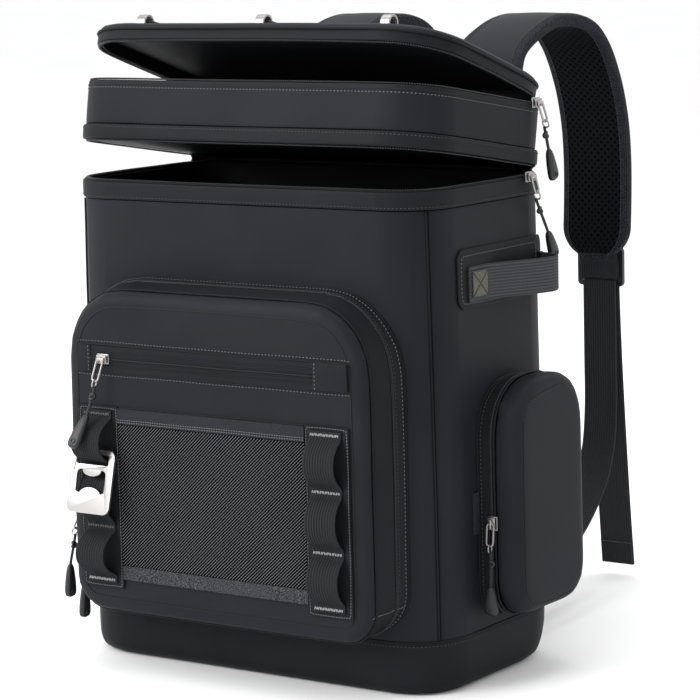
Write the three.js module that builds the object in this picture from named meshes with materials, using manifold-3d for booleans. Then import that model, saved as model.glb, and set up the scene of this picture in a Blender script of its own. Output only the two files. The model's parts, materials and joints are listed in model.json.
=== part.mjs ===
// Cooler backpack: an insulated box-shaped pack with a zipped upper deck and lid, a front pocket with
// webbing columns, two side pockets, side handles and padded shoulder straps.
// Millimetres, +Z up. The origin is the centre of the base's underside and the front faces -Y.
import * as THREE from "three";
import { mergeVertices } from "three/addons/utils/BufferGeometryUtils.js";
import Module from "manifold-3d";

const wasm = await Module();
wasm.setup();

// Clearances and fabric thicknesses
const GAP = 0.3; // between pieces that touch
const SKIN = 2.5; // unpadded pocket wall
const WEB = 1.8; // strap webbing
const PATCH = 1.6; // flat reinforcement
const CORNER_STEPS = 5; // chords in each rounded corner
const FOLLOW = 0.8; // how closely a sewn-on piece follows the round of a body corner
const FOLLOW_REACH = 0.98; // how far round that corner it may follow, in corner radii

// Main body
const BODY_WIDTH = 337; // at the rim
const BODY_DEPTH = 190; // at the rim
const BODY_HEIGHT = 381; // floor to rim
const BODY_CORNER = 40; // plan corner radius at the rim
const WIDTH_SPREAD = 7.6; // how much wider the body is at the boot
const BACK_SPREAD = 3.4; // how much further back it reaches at the boot
const CORNER_SPREAD = 6; // how much rounder its corners are at the boot
const BODY_WALL = 5; // padded wall
const LINER_WALL = 1.5;
const FLOOR_PAD = 6;
const RIM_HEIGHT = 14;
const RIM_PROUD = 2;
const BOOT_HEIGHT = 42;
const BOOT_WALL = 3;
const BOOT_ROLL = 12; // bottom rounding at the front and sides
const BOOT_BACK_ROLL = 28; // bottom rounding at the back
const BOOT_LEVELS = { low: 0.15, middle: 0.5, liner: 0.6 }; // heights on the rounding, as shares of it
const PIPING_RADIUS = 1.6;
const PIPING_ANGLE = 35; // place on the corner arc, degrees from the side

// Upper deck and lid
const DECK_HEIGHT = 46.5;
const DECK_FLANGE = 12; // height of the proud band at its foot
const DECK_SEAM = 3; // zip seam between the rim and the deck
const DECK_OPEN = 9; // degrees
const LID_SEAM = 2;
const LID_OPEN = 9; // degrees past the deck
const LID_BAND = 9;
const LID_TOP = 6; // rolled top panel
const LID_CORNER = 48;
const LID_ROLL = 9; // width of the rolled edge
const LID_FORM = [ // the top panel's edge: drawn in and raised, as shares of its roll and its height
  { drawn: 0, raised: 0 },
  { drawn: 0.05, raised: 0.45 },
  { drawn: 0.4, raised: 0.86 },
  { drawn: 1, raised: 1 },
];
const HINGE_WIDTH = 246;
const HINGE_THICKNESS = 1.6;
const HINGE_LEG = 9; // length of each leg of a hinge strip

// Elastic lace on the lid
const LACE_RADIUS = 1.75;
const LOOP_BORE = 4.6; // inner radius of a lace loop
const LOOP_BAND = 1.8;
const LOOP_WIDTH = 8;
const LOOP_SPRING = 0.4; // height where a loop's arch starts above its foot, in bores
const LACE_SEAT = 0.46; // height of the lace above a loop's foot, in bores
const LOOP_SETBACK = 21; // from the lid's front or back edge
const LOOP_SPACING = 57.5; // from one loop to the next across the lid
const LACE_TURN = [ // how the lace turns through an eye, in eye radii
  { aside: -1.65, inward: 1.9 },
  { aside: -1, inward: 0.34 },
  { aside: 0, inward: 0 },
  { aside: 1, inward: 0.34 },
  { aside: 1.65, inward: 1.9 },
];

// Front pocket
const POCKET_WIDTH = 296; // outer seam
const POCKET_LOW = 50;
const POCKET_HIGH = 308;
const POCKET_CORNER_HIGH = 60;
const POCKET_CORNER_LOW = 30;
const POCKET_TAPER = 7; // how much narrower the panel's edge is, each side
const POCKET_STRIP = 11; // depth of the strip behind the zip
const POCKET_DEPTH = 30; // depth to the panel's edge
const PANEL_ROLL = 9; // depth of the panel's rolled edge
const PANEL_EDGE = 12; // width of the panel's rolled edge
const PANEL_FORM = [ // that edge: drawn in and raised, as shares of its width and its depth
  { drawn: 0, raised: 0 },
  { drawn: 0.1, raised: 0.5 },
  { drawn: 0.42, raised: 0.86 },
  { drawn: 1, raised: 1 },
];

// Slim zip across the panel
const SLIM_LOW = 238;
const SLIM_HEIGHT = 20;
const SLIM_WIDTH = 256;
const SLIM_THICKNESS = 2;

// Mesh pouch between the webbing columns
const MESH_WIDTH = 176;
const MESH_LOW = 75;
const MESH_HIGH = 210;
const MESH_THICKNESS = 1.6;
const HEM_THICKNESS = 2.4;
const HEM_HIGH = 12; // height of the upper hem
const HEM_LOW = 11; // height of the lower hem

// Webbing columns
const BACKING_WIDTH = 39;
const BACKING_LOW = 67;
const BACKING_HIGH = 211;
const COLUMN_WIDTH = 28;
const COLUMN_OFFSET = 107.5; // centre of a column from the middle
const TACK_HEIGHT = 6;
const TACKS = [0.958, 0.66, 0.34, 0.049]; // centres of the tacks, as shares of the backing's height
const RIGHT_BULGE = [10, 9.5, 9.5]; // how far each loop stands out, from the top
const LEFT_BULGE = [16, 10, 15];
const LOOP_FORM = [
  { down: 0.14, out: 0.55 },
  { down: 0.36, out: 1 },
  { down: 0.64, out: 1 },
  { down: 0.84, out: 0.6 },
];

// Bottle opener hung on the left column
const OPENER_WIDTH = 42;
const OPENER_HEIGHT = 50;
const OPENER_THICKNESS = 2.2;
const OPENER_TOP = 177; // height of its top edge
const OPENER_CENTRE = -106.8;
const OPENER_STANDOFF = 5.2; // from the backing to its top edge
const OPENER_LEAN = 14.5; // degrees, the foot standing out
const OPENER_CORNER = 6;
const OPENER_BAR = 4; // top bar and bar under the slot
const OPENER_SLOT_CORNER = 1.3;
const OPENER_SLOT_WIDTH = 31;
const OPENER_SLOT_HEIGHT = 8;
const OPENER_WINDOW_WIDTH = 28;
const OPENER_WINDOW_HEIGHT = 21;
const OPENER_LIP = 4; // height of the prying lips

// Side handle and its patch
const PATCH_FRONT = -53;
const PATCH_BACK = 75;
const PATCH_LOW = 290;
const PATCH_HIGH = 335;
const PATCH_FORM = [ // its rounded ends: place along it, and height there as a share of the whole
  { along: 0, height: 0.7 },
  { along: 0.02, height: 0.88 },
  { along: 0.05, height: 1 },
  { along: 0.8, height: 1 },
  { along: 0.88, height: 1 },
  { along: 0.95, height: 1 },
  { along: 0.98, height: 0.88 },
  { along: 1, height: 0.7 },
];
const HANDLE_WIDTH = 27;
const HANDLE_HEIGHT = 308; // centre line
const HANDLE_FRONT = -40;
const HANDLE_BACK = 73;
const HANDLE_BULGE = 22;
const HANDLE_FORM = [
  { along: 0, out: 0 },
  { along: 0.26, out: 0 },
  { along: 0.45, out: 0.42 },
  { along: 0.62, out: 0.82 },
  { along: 0.76, out: 1 },
  { along: 0.86, out: 0.88 },
  { along: 0.925, out: 0.45 },
  { along: 0.96, out: 0 },
  { along: 1, out: 0 },
];

// Side pocket
const SIDE_FRONT = -32;
const SIDE_BACK = 72;
const SIDE_LOW = 50;
const SIDE_HIGH = 232;
const SIDE_CORNER_HIGH = 42;
const SIDE_CORNER_LOW = 28;
const SIDE_LIFT = 5; // how much higher the cover's face sits
const SIDE_STRIP = 15; // depth to the zip
const SIDE_DEPTH = 36;
const SIDE_ROLL = 9; // width of the cover's rolled edge
const SIDE_INNER = 0.3; // how far the inside of that edge is drawn in, as a share of it
const SIDE_FORM = [ // that edge: drawn in, and sunk below the face, as shares of its width
  { drawn: 0.04, sunk: 0.8 },
  { drawn: 0.34, sunk: 0.24 },
  { drawn: 1, sunk: 0 },
];
const TAG_WIDTH = 8;
const TAG_LOW = 118;
const TAG_HIGH = 150;
const TAG_THICKNESS = 1.2;

// Back panel
const BACK_PAD_WIDTH = 236;
const BACK_PAD_LOW = 66;
const BACK_PAD_HIGH = 334;
const BACK_PAD_DEPTH = 12;
const BACK_PAD_CORNER = 26;
const BACK_PAD_ROLL = 6;
const BACK_PAD_FORM = [ // its edge: drawn in and raised, as shares of its roll and its depth
  { drawn: 0, raised: 0.4 },
  { drawn: 0.3, raised: 0.8 },
  { drawn: 1, raised: 1 },
];

// Shoulder straps
const STRAP_OFFSET = 83; // centre of a strap from the middle
const STRAP_WIDTH = 64;
const STRAP_THICKNESS = 11;
const STRAP_DROP = 36; // from the rim down to the strap's sewn end
const STRAP_REACH = 214; // how far the strap stands behind its sewn end
const STRAP_RISE = 149; // how far it rises above its sewn end
const STRAP_ROUTE = [
  { back: 0, up: 0, width: 0.96 },
  { back: 0.019, up: 0.141, width: 1 },
  { back: 0.047, up: 0.315, width: 1 },
  { back: 0.08, up: 0.517, width: 1 },
  { back: 0.141, up: 0.738, width: 1 },
  { back: 0.25, up: 0.882, width: 1 },
  { back: 0.393, up: 0.96, width: 1 },
  { back: 0.551, up: 1, width: 1 },
  { back: 0.706, up: 0.967, width: 1 },
  { back: 0.827, up: 0.852, width: 1 },
  { back: 0.925, up: 0.638, width: 1 },
  { back: 0.981, up: 0.403, width: 1 },
  { back: 1, up: 0.174, width: 1 },
  { back: 0.997, up: -0.1, width: 1 },
  { back: 0.986, up: -0.31, width: 0.96 },
  { back: 0.984, up: -0.37, width: 0.84 },
  { back: 0.982, up: -0.402, width: 0.58 },
];

// Ladder lock and adjusting webbing
const LOCK_WIDTH = 44;
const LOCK_HEIGHT = 34;
const LOCK_THICKNESS = 4;
const LOCK_BAR = 4;
const LOCK_SLOT = 6;
const LOCK_OVERLAP = 10; // how far the lock reaches up over the strap's end
const ADJUST_WIDTH = 32;
const TAIL_LENGTH = 250;
const TAIL_SPREAD = 22; // how far the tail's end hangs behind the lock
const TAIL_HEM = 20;
const TAIL_BEND = 1.3; // how sharply the tail bends away as it hangs: 1 is straight
const TAIL_STATIONS = [0.2, 0.45, 0.7]; // sections down to the hem, as shares of the tail
const HEM_STEP = 0.01; // share of the tail over which the hem thickens
const ANCHOR_OFFSET = 108; // where the webbing is sewn in, from the middle
const ANCHOR_LIFT = 4; // above the boot's seam
const LOWER_ROUTE = [
  { out: 1, down: 0.3, aside: 0 },
  { out: 0.995, down: 0.5, aside: 0.02 },
  { out: 0.965, down: 0.65, aside: 0.06 },
  { out: 0.89, down: 0.77, aside: 0.16 },
  { out: 0.76, down: 0.865, aside: 0.32 },
  { out: 0.58, down: 0.94, aside: 0.6 },
  { out: 0.38, down: 0.985, aside: 0.84 },
  { out: 0.18, down: 1, aside: 1 },
  { out: 0, down: 1, aside: 1 },
];

// Zip pulls
const SLIDER_LENGTH = 11;
const SLIDER_WIDTH = 8;
const SLIDER_THICKNESS = 4;
const LINK_WIDTH = 6;
const LINK_THICKNESS = 1.4;
const LINK_EYE = 3.2; // width of the eye in a link
const PULL_CORD_RADIUS = 1.2;
const GRIP_WIDTH = 8;
const GRIP_THICKNESS = 6;
const GRIP_FORM = [ // place along the grip, and size there as a share of the whole
  { along: 0, size: 0.5 },
  { along: 0.14, size: 0.78 },
  { along: 0.75, size: 1 },
  { along: 1, size: 0.72 },
];
const CORD_REACH = 0.2; // how far the cord runs into the grip, as a share of its length
const BRIDGE_WIDTH = 2.56; // the bridge that holds a link on its slider
const BRIDGE_LENGTH = 7.7;
const ROUNDED = 0.1; // flat left at the head of a link, so that its corners stay apart

// Where each slider stands, and how its pull hangs: the link's eye, the grip's neck and its tip, each
// measured from the slider
const SLIM_SLIDER = 28; // from the slim zip's left end
const SLIM_HANG = { eye: [-4, -5, -21], neck: [-8, -12, -44], tip: [-13, -25, -67] };
const SIDE_SLIDER = 127; // height on the side pocket
const SIDE_HANG = { eye: [0, -2, -21], neck: [0, -3, -49], tip: [0, -3.5, -70] };
const MAIN_SLIDER = 43; // from the body's back, along its side
const MAIN_HANG = { eye: [2, 4, -17], neck: [4, 19, -45], tip: [4.5, 28, -65] };
const UPPER_SLIDER = 38; // from the deck's back, along its side
const UPPER_HANG = { eye: [2, 7, -19], neck: [4, 10, -38], tip: [4.5, 17, -61] };
const POCKET_SLIDER_HIGH = 120; // heights on the front pocket's left side
const POCKET_HANG_HIGH = { eye: [-3, -14, -19], neck: [-4.5, -20, -44], tip: [-4.5, -21, -69] };
const POCKET_SLIDER_LOW = 100;
const POCKET_HANG_LOW = { eye: [-2, -3, -18], neck: [-3.5, -4, -43], tip: [-4, -5, -69] };

// Finishes
const finish = (color, roughness, metalness = 0) => ({ color, roughness, metalness });
const SHELL = finish(0x33353a, 0.62);
const SHELL_DARK = finish(0x26282b, 0.66);
const LINING = finish(0x1b1c1e, 0.8);
const WEBBING = finish(0x2d2e30, 0.85);
const MESH = finish(0x1f2022, 0.9);
const STEEL = finish(0xd8d4d2, 0.3, 1);
const MOULDED = finish(0x1a1b1d, 0.45);

const backpack = new THREE.Group();

// Adds one named piece to a group.
function addPiece(name, geometry, look, parent = backpack) {
  const mesh = new THREE.Mesh(geometry, new THREE.MeshStandardMaterial(look));
  mesh.name = name;
  parent.add(mesh);
  return mesh;
}

const degrees = (angle) => THREE.MathUtils.degToRad(angle);
const mix = THREE.MathUtils.lerp;
const point = (x, y, z) => new THREE.Vector3(x, y, z);

// Body section at a height: half width, front, back and corner radius
function sectionAt(z) {
  const share = Math.min((BODY_HEIGHT - z) / (BODY_HEIGHT - BOOT_HEIGHT), 1);
  return {
    half: (BODY_WIDTH + WIDTH_SPREAD * share) / 2,
    front: -BODY_DEPTH / 2,
    back: BODY_DEPTH / 2 + BACK_SPREAD * share,
    corner: BODY_CORNER + CORNER_SPREAD * share,
  };
}

// How far a rounded corner of the given radius falls away at a distance past the flat stretch.
function fallAway(past, radius) {
  if (past <= 0) return 0;
  const within = Math.min(past, radius * FOLLOW_REACH);
  return FOLLOW * (radius - Math.sqrt(radius * radius - within * within));
}

// Places on the body: u runs along the face, v is the height and w stands out from the surface.
// A piece near a corner follows the corner at the surface and runs straight at its full depth.
const onPlan = (u, v, w) => point(u, v, w);
function onFront(u, v, w) {
  const at = sectionAt(v);
  const fall = fallAway(Math.abs(u) - (at.half - at.corner), at.corner);
  return point(u, at.front - w + fall * Math.max(1 - w / POCKET_DEPTH, 0), v);
}
function onBack(u, v, w) {
  return point(u, sectionAt(v).back + w, v);
}
function onSide(sign) {
  return (u, v, w) => {
    const at = sectionAt(v);
    const past = Math.max(u - (at.back - at.corner), at.front + at.corner - u);
    return point(sign * (at.half + w - fallAway(past, at.corner) * Math.max(1 - w / SIDE_DEPTH, 0)), u, v);
  };
}

// An outline is a rounded rectangle with its own corner radius at the low and the high edge.
const outline = (u0, u1, v0, v1, low, high = low) => ({ u0, u1, v0, v1, low, high });
function inset(o, by) {
  const least = 1;
  return outline(o.u0 + by, o.u1 - by, o.v0 + by, o.v1 - by,
    Math.max(o.low - by, least), Math.max(o.high - by, least));
}
function between(a, b, share) {
  const rows = Object.keys(a).map((key) => [key, mix(a[key], b[key], share)]);
  return Object.fromEntries(rows);
}
function ringOf(o, w, place = onPlan, steps = CORNER_STEPS) {
  const corners = [
    { u: o.u1 - o.low, v: o.v0 + o.low, radius: o.low, start: -90 },
    { u: o.u1 - o.high, v: o.v1 - o.high, radius: o.high, start: 0 },
    { u: o.u0 + o.high, v: o.v1 - o.high, radius: o.high, start: 90 },
    { u: o.u0 + o.low, v: o.v0 + o.low, radius: o.low, start: 180 },
  ];
  const ring = [];
  for (const { u, v, radius, start } of corners)
    for (let i = 0; i <= steps; i += 1) {
      const angle = degrees(start + (90 * i) / steps);
      ring.push(place(u + radius * Math.cos(angle), v + radius * Math.sin(angle), w));
    }
  return ring;
}

// Skins a run of rings of equal count into one closed body: capped at both ends, or joined round.
function loft(rings, joined = false) {
  const count = rings[0].length;
  const positions = rings.flat().flatMap((p) => p.toArray());
  const faces = [];
  const bands = joined ? rings.length : rings.length - 1;
  for (let j = 0; j < bands; j += 1) {
    const low = j * count;
    const high = ((j + 1) % rings.length) * count;
    for (let i = 0; i < count; i += 1) {
      const next = (i + 1) % count;
      faces.push([low + i, low + next, high + next], [low + i, high + next, high + i]);
    }
  }
  if (!joined) {
    const last = (rings.length - 1) * count;
    for (let i = 1; i < count - 1; i += 1) faces.push([0, i + 1, i], [last, last + i, last + i + 1]);
  }
  const corner = (index) => point(...positions.slice(3 * index, 3 * index + 3));
  const volume = faces.reduce((sum, [a, b, c]) => sum + corner(a).dot(corner(b).cross(corner(c))), 0);
  const geometry = new THREE.BufferGeometry();
  geometry.setAttribute("position", new THREE.Float32BufferAttribute(positions, 3));
  geometry.setIndex(faces.flatMap((face) => (volume < 0 ? face.toReversed() : face)));
  return geometry;
}

// Rings of an outline at several insets and depths, from {by, w} rows
const ringsOf = (o, rows, place) => rows.map(({ by, w }) => ringOf(inset(o, by), w, place));

// A flat piece with an outline, from depth w0 to w1
const plate = (o, w0, w1, place, steps) => loft([ringOf(o, w0, place, steps), ringOf(o, w1, place, steps)]);

// A wall that follows two outlines from depth w0 to w1
function tubeWall(a, b, w0, w1, wall, place) {
  return loft([ringOf(a, w0, place), ringOf(b, w1, place),
    ringOf(inset(b, wall), w1, place), ringOf(inset(a, wall), w0, place)], true);
}

// Cross sections of a strap, in half widths and half thicknesses
const FLAT = [[-1, -1], [1, -1], [1, 1], [-1, 1]];
const PADDED = [
  [-1, -0.35], [-0.88, -1], [0.88, -1], [1, -0.35], [1, 0.35], [0.88, 1], [-0.88, 1], [-1, 0.35],
];
const ROUND = [0, 45, 90, 135, 180, 225, 270, 315]
  .map((turn) => [Math.cos(degrees(turn)), Math.sin(degrees(turn))]);

// A strap through stations {at, width, thickness}, with its width along `across`
function ribbon(stations, across, section = FLAT, place = (p) => p) {
  const last = stations.length - 1;
  return loft(stations.map(({ at, width, thickness }, i) => {
    const before = stations[Math.max(i - 1, 0)].at;
    const along = stations[Math.min(i + 1, last)].at.clone().sub(before).normalize();
    const side = across.clone().addScaledVector(along, -along.dot(across)).normalize();
    const out = along.cross(side);
    return section.map(([a, b]) =>
      place(at.clone().addScaledVector(side, (a * width) / 2).addScaledVector(out, (b * thickness) / 2)));
  }));
}

// A round cord along a smooth curve
function tube(points, radius, steps, sides = 8) {
  const section = new THREE.Shape().absarc(0, 0, radius, 0, 2 * Math.PI);
  const extrudePath = new THREE.CatmullRomCurve3(points);
  const ring = new THREE.Shape(section.getPoints(sides).slice(0, sides));
  return new THREE.ExtrudeGeometry(ring, { steps, extrudePath, curveSegments: 1 });
}

// Joins closed geometries into one body.
function fuse(...geometries) {
  const solids = geometries.map((geometry) => {
    const bare = geometry.clone();
    bare.deleteAttribute("normal");
    bare.deleteAttribute("uv");
    const merged = mergeVertices(bare, 1e-4);
    const triVerts = merged.index.array;
    return new wasm.Manifold(new wasm.Mesh({
      numProp: 3, vertProperties: merged.attributes.position.array, triVerts: new Uint32Array(triVerts),
    }));
  });
  const { vertProperties, triVerts } = solids.reduce((all, next) => all.add(next)).getMesh();
  const joined = new THREE.BufferGeometry();
  joined.setAttribute("position", new THREE.Float32BufferAttribute(vertProperties, 3));
  joined.setIndex(Array.from(triVerts));
  return joined;
}

// Plan outline of the body at a height, drawn in by a named amount
function bodyPlan(z, by = 0) {
  const at = sectionAt(z);
  return inset(outline(-at.half, at.half, at.front, at.back, at.corner), by);
}

// Inset of a rolled edge of the given radius at a height above its foot
const rollInset = (z, radius) =>
  (z < radius ? radius - Math.sqrt(radius ** 2 - (radius - Math.max(z, 0)) ** 2) : 0);

// Boot plan at a height: rolled in under the front and sides, and more under the back
function bootPlan(z, wall) {
  const plan = bodyPlan(z, wall + rollInset(z - wall, BOOT_ROLL - wall));
  plan.v1 = sectionAt(z).back - wall - rollInset(z - wall, BOOT_BACK_ROLL - wall);
  return plan;
}

function addBody() {
  const seam = BOOT_HEIGHT + GAP;
  const rimLow = BODY_HEIGHT - RIM_HEIGHT;
  const high = rimLow - GAP;
  addPiece("main_body", tubeWall(bodyPlan(seam), bodyPlan(high), seam, high, BODY_WALL), SHELL);
  addPiece("main_rim",
    tubeWall(bodyPlan(rimLow, -RIM_PROUD), bodyPlan(BODY_HEIGHT, -RIM_PROUD), rimLow, BODY_HEIGHT,
      RIM_PROUD + BODY_WALL), SHELL_DARK);

  const [low, middle] = [BOOT_ROLL * BOOT_LEVELS.low, BOOT_ROLL * BOOT_LEVELS.middle];
  const outerLevels = [0, low, middle, BOOT_ROLL, BOOT_BACK_ROLL, BOOT_HEIGHT];
  const innerLevels = [BOOT_HEIGHT, BOOT_BACK_ROLL, BOOT_ROLL, middle, BOOT_WALL];
  addPiece("base_boot", loft([
    ...outerLevels.map((z) => ringOf(bootPlan(z, 0), z)),
    ...innerLevels.map((z) => ringOf(bootPlan(z, BOOT_WALL), z)),
  ]), SHELL_DARK);

  // The liner fills the boot's hollow with its padded floor and lines the wall up to the rim.
  const linerLow = BOOT_WALL + GAP;
  const linerTop = BODY_HEIGHT - 1;
  const lining = (z, wall) => {
    const boot = bootPlan(z, BOOT_WALL + GAP + wall);
    const wallPlan = bodyPlan(z, BODY_WALL + GAP + wall);
    return { ...wallPlan, u0: Math.max(boot.u0, wallPlan.u0), u1: Math.min(boot.u1, wallPlan.u1),
      v0: Math.max(boot.v0, wallPlan.v0), v1: Math.min(boot.v1, wallPlan.v1) };
  };
  const foot = BOOT_ROLL * BOOT_LEVELS.liner;
  const linerLevels = [linerLow, foot, BOOT_ROLL, BOOT_BACK_ROLL, BOOT_HEIGHT, linerTop];
  const innerLiner = [linerTop, BOOT_HEIGHT, BOOT_BACK_ROLL, BOOT_ROLL, linerLow + FLOOR_PAD];
  addPiece("main_liner", loft([
    ...linerLevels.map((z) => ringOf(lining(z, 0), z)),
    ...innerLiner.map((z) => ringOf(lining(z, LINER_WALL), z)),
  ]), LINING);
}

// Piping down each front corner of the body
function addPiping(sign, name) {
  const low = BOOT_HEIGHT + GAP;
  const high = BODY_HEIGHT - RIM_HEIGHT - GAP;
  const angle = degrees(PIPING_ANGLE);
  const seat = PIPING_RADIUS + GAP;
  const centreAt = (z) => {
    const at = sectionAt(z);
    const reach = at.corner + seat;
    return point(sign * (at.half - at.corner + reach * Math.cos(angle)),
      at.front + at.corner - reach * Math.sin(angle), z);
  };
  const heights = [low, (low + high) / 2, high];
  addPiece(name, tube(heights.map(centreAt), PIPING_RADIUS, heights.length - 1), SHELL_DARK);
}

// A strip that bridges a hinge line, bent by the opening angle
function hingeStrip(angle, seam) {
  const off = GAP + HINGE_THICKNESS / 2;
  const turn = degrees(angle);
  const bend = point(0, off, -off * Math.tan(turn / 2));
  const top = point(0, off, HINGE_LEG).applyAxisAngle(point(1, 0, 0), -turn);
  const station = (at) => ({ at, width: HINGE_WIDTH, thickness: HINGE_THICKNESS });
  return ribbon([station(point(0, off, -seam - HINGE_LEG)), station(bend), station(top)], point(1, 0, 0));
}

// Deck and lid share the body's plan, and open about their back edges.
function addDeck() {
  const deck = new THREE.Group();
  deck.position.set(0, BODY_DEPTH / 2 + RIM_PROUD, BODY_HEIGHT + DECK_SEAM);
  deck.rotation.x = -degrees(DECK_OPEN);
  backpack.add(deck);
  const plan = outline(-BODY_WIDTH / 2, BODY_WIDTH / 2, -BODY_DEPTH - RIM_PROUD, -RIM_PROUD, BODY_CORNER);
  const proud = inset(plan, -RIM_PROUD);
  addPiece("upper_flange", tubeWall(proud, proud, GAP, DECK_FLANGE, RIM_PROUD + BODY_WALL), SHELL_DARK, deck);
  addPiece("upper_case", tubeWall(plan, plan, DECK_FLANGE + GAP, DECK_HEIGHT, BODY_WALL), SHELL, deck);
  addPiece("upper_floor", plate(inset(plan, BODY_WALL + GAP), GAP, FLOOR_PAD, onPlan), LINING, deck);

  const foot = addPiece("lower_hinge", hingeStrip(DECK_OPEN, DECK_SEAM), SHELL_DARK);
  foot.position.copy(deck.position);

  const lid = new THREE.Group();
  lid.position.set(0, -RIM_PROUD, DECK_HEIGHT + LID_SEAM);
  lid.rotation.x = -degrees(LID_OPEN);
  deck.add(lid);
  const upper = addPiece("upper_hinge", hingeStrip(LID_OPEN, LID_SEAM), SHELL_DARK, deck);
  upper.position.copy(lid.position);
  addLid(lid);
  return deck;
}

function addLid(lid) {
  const plan = outline(-BODY_WIDTH / 2, BODY_WIDTH / 2, -BODY_DEPTH, 0, LID_CORNER);
  addPiece("lid_band", tubeWall(plan, plan, GAP, LID_BAND, BODY_WALL), SHELL_DARK, lid);
  const foot = LID_BAND + GAP;
  const levels = LID_FORM.map(({ drawn, raised }) => ({ by: drawn * LID_ROLL, w: foot + raised * LID_TOP }));
  addPiece("lid_panel", loft(ringsOf(plan, levels)), SHELL, lid);

  // Loops stand on the lid with their eyes along X, and the lace zigzags through them.
  const top = foot + LID_TOP + GAP;
  const frontRow = -BODY_DEPTH + LOOP_SETBACK;
  const backRow = -LOOP_SETBACK;
  const anchors = ["front_1", "back_1", "front_2", "back_2", "front_3"].map((name, i) => {
    const back = i % 2;
    return { name, x: (i - 2) * LOOP_SPACING, y: back ? backRow : frontRow, back };
  });
  for (const { name, x, y } of anchors) {
    const loop = addPiece(`lid_loop_${name}`, laceLoop(), STEEL, lid);
    loop.position.set(x, y, top);
  }
  const eye = top + LOOP_BAND + LOOP_BORE * LACE_SEAT;
  const turns = anchors.flatMap(({ x, y, back }) => {
    const inward = back ? -LOOP_BORE : LOOP_BORE;
    return LACE_TURN.map((row) => point(x + row.aside * LOOP_BORE, y + row.inward * inward, eye));
  });
  const lace = turns.slice(1, -1).map((at) => ({ at, width: 2 * LACE_RADIUS, thickness: 2 * LACE_RADIUS }));
  addPiece("bungee_cord", ribbon(lace, point(0, 0, 1), ROUND), WEBBING, lid);
}

// An arched loop with a flat foot, one closed band round its eye
function laceLoop() {
  const outer = LOOP_BORE + LOOP_BAND;
  const spring = LOOP_BAND + LOOP_BORE * LOOP_SPRING;
  const arch = (radius, floor) => {
    const path = new THREE.Shape();
    path.moveTo(-radius, floor);
    path.lineTo(radius, floor);
    path.lineTo(radius, spring);
    path.absarc(0, spring, radius, 0, Math.PI);
    path.closePath();
    return path;
  };
  const band = arch(outer, 0);
  band.holes.push(arch(LOOP_BORE, LOOP_BAND));
  const body = new THREE.ExtrudeGeometry(band, { depth: LOOP_WIDTH, bevelEnabled: false, curveSegments: 6 });
  const stand = new THREE.Matrix4().makeBasis(point(0, 1, 0), point(0, 0, 1), point(1, 0, 0));
  return body.applyMatrix4(stand.setPosition(-LOOP_WIDTH / 2, 0, 0));
}

// Front pocket: a strip sewn to the body, the gusset beyond the zip, and a rolled panel
const POCKET_SEAM = outline(-POCKET_WIDTH / 2, POCKET_WIDTH / 2, POCKET_LOW, POCKET_HIGH,
  POCKET_CORNER_LOW, POCKET_CORNER_HIGH);
const PANEL_RIM = outline(-POCKET_WIDTH / 2 + POCKET_TAPER, POCKET_WIDTH / 2 - POCKET_TAPER,
  POCKET_LOW - POCKET_TAPER / 2, POCKET_HIGH - POCKET_TAPER,
  POCKET_CORNER_LOW - POCKET_TAPER / 2, POCKET_CORNER_HIGH - POCKET_TAPER);
const PANEL_FACE = POCKET_DEPTH + PANEL_ROLL; // distance of the flat face from the body

function addFrontPocket() {
  const zip = between(POCKET_SEAM, PANEL_RIM, POCKET_STRIP / POCKET_DEPTH);
  const strip = tubeWall(POCKET_SEAM, zip, GAP, POCKET_STRIP - GAP, SKIN, onFront);
  addPiece("pocket_base_strip", strip, SHELL_DARK);
  addPiece("pocket_gusset", tubeWall(zip, PANEL_RIM, POCKET_STRIP, POCKET_DEPTH - GAP, SKIN, onFront), SHELL);
  addPiece("pocket_panel", loft(ringsOf(PANEL_RIM, [
    { by: PANEL_EDGE, w: PANEL_FACE - SKIN },
    { by: SKIN, w: POCKET_DEPTH },
    ...PANEL_FORM.map(({ drawn, raised }) =>
      ({ by: drawn * PANEL_EDGE, w: POCKET_DEPTH + raised * PANEL_ROLL })),
  ], onFront)), SHELL);

  const face = PANEL_FACE + GAP;
  const slim = outline(-SLIM_WIDTH / 2, SLIM_WIDTH / 2, SLIM_LOW, SLIM_LOW + SLIM_HEIGHT, 1);
  addPiece("slim_zip", plate(slim, face, face + SLIM_THICKNESS, onFront), MOULDED);

  const across = (low, high) => outline(-MESH_WIDTH / 2, MESH_WIDTH / 2, low, high, 1);
  const hemLow = MESH_LOW + HEM_LOW;
  const hemHigh = MESH_HIGH - HEM_HIGH;
  const mesh = plate(across(hemLow + GAP, hemHigh - GAP), face, face + MESH_THICKNESS, onFront);
  addPiece("mesh_panel", mesh, MESH);
  addPiece("mesh_hem_top", plate(across(hemHigh, MESH_HIGH), face, face + HEM_THICKNESS, onFront), WEBBING);
  addPiece("mesh_hem_bottom", plate(across(MESH_LOW, hemLow), face, face + HEM_THICKNESS, onFront), WEBBING);
}

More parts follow.
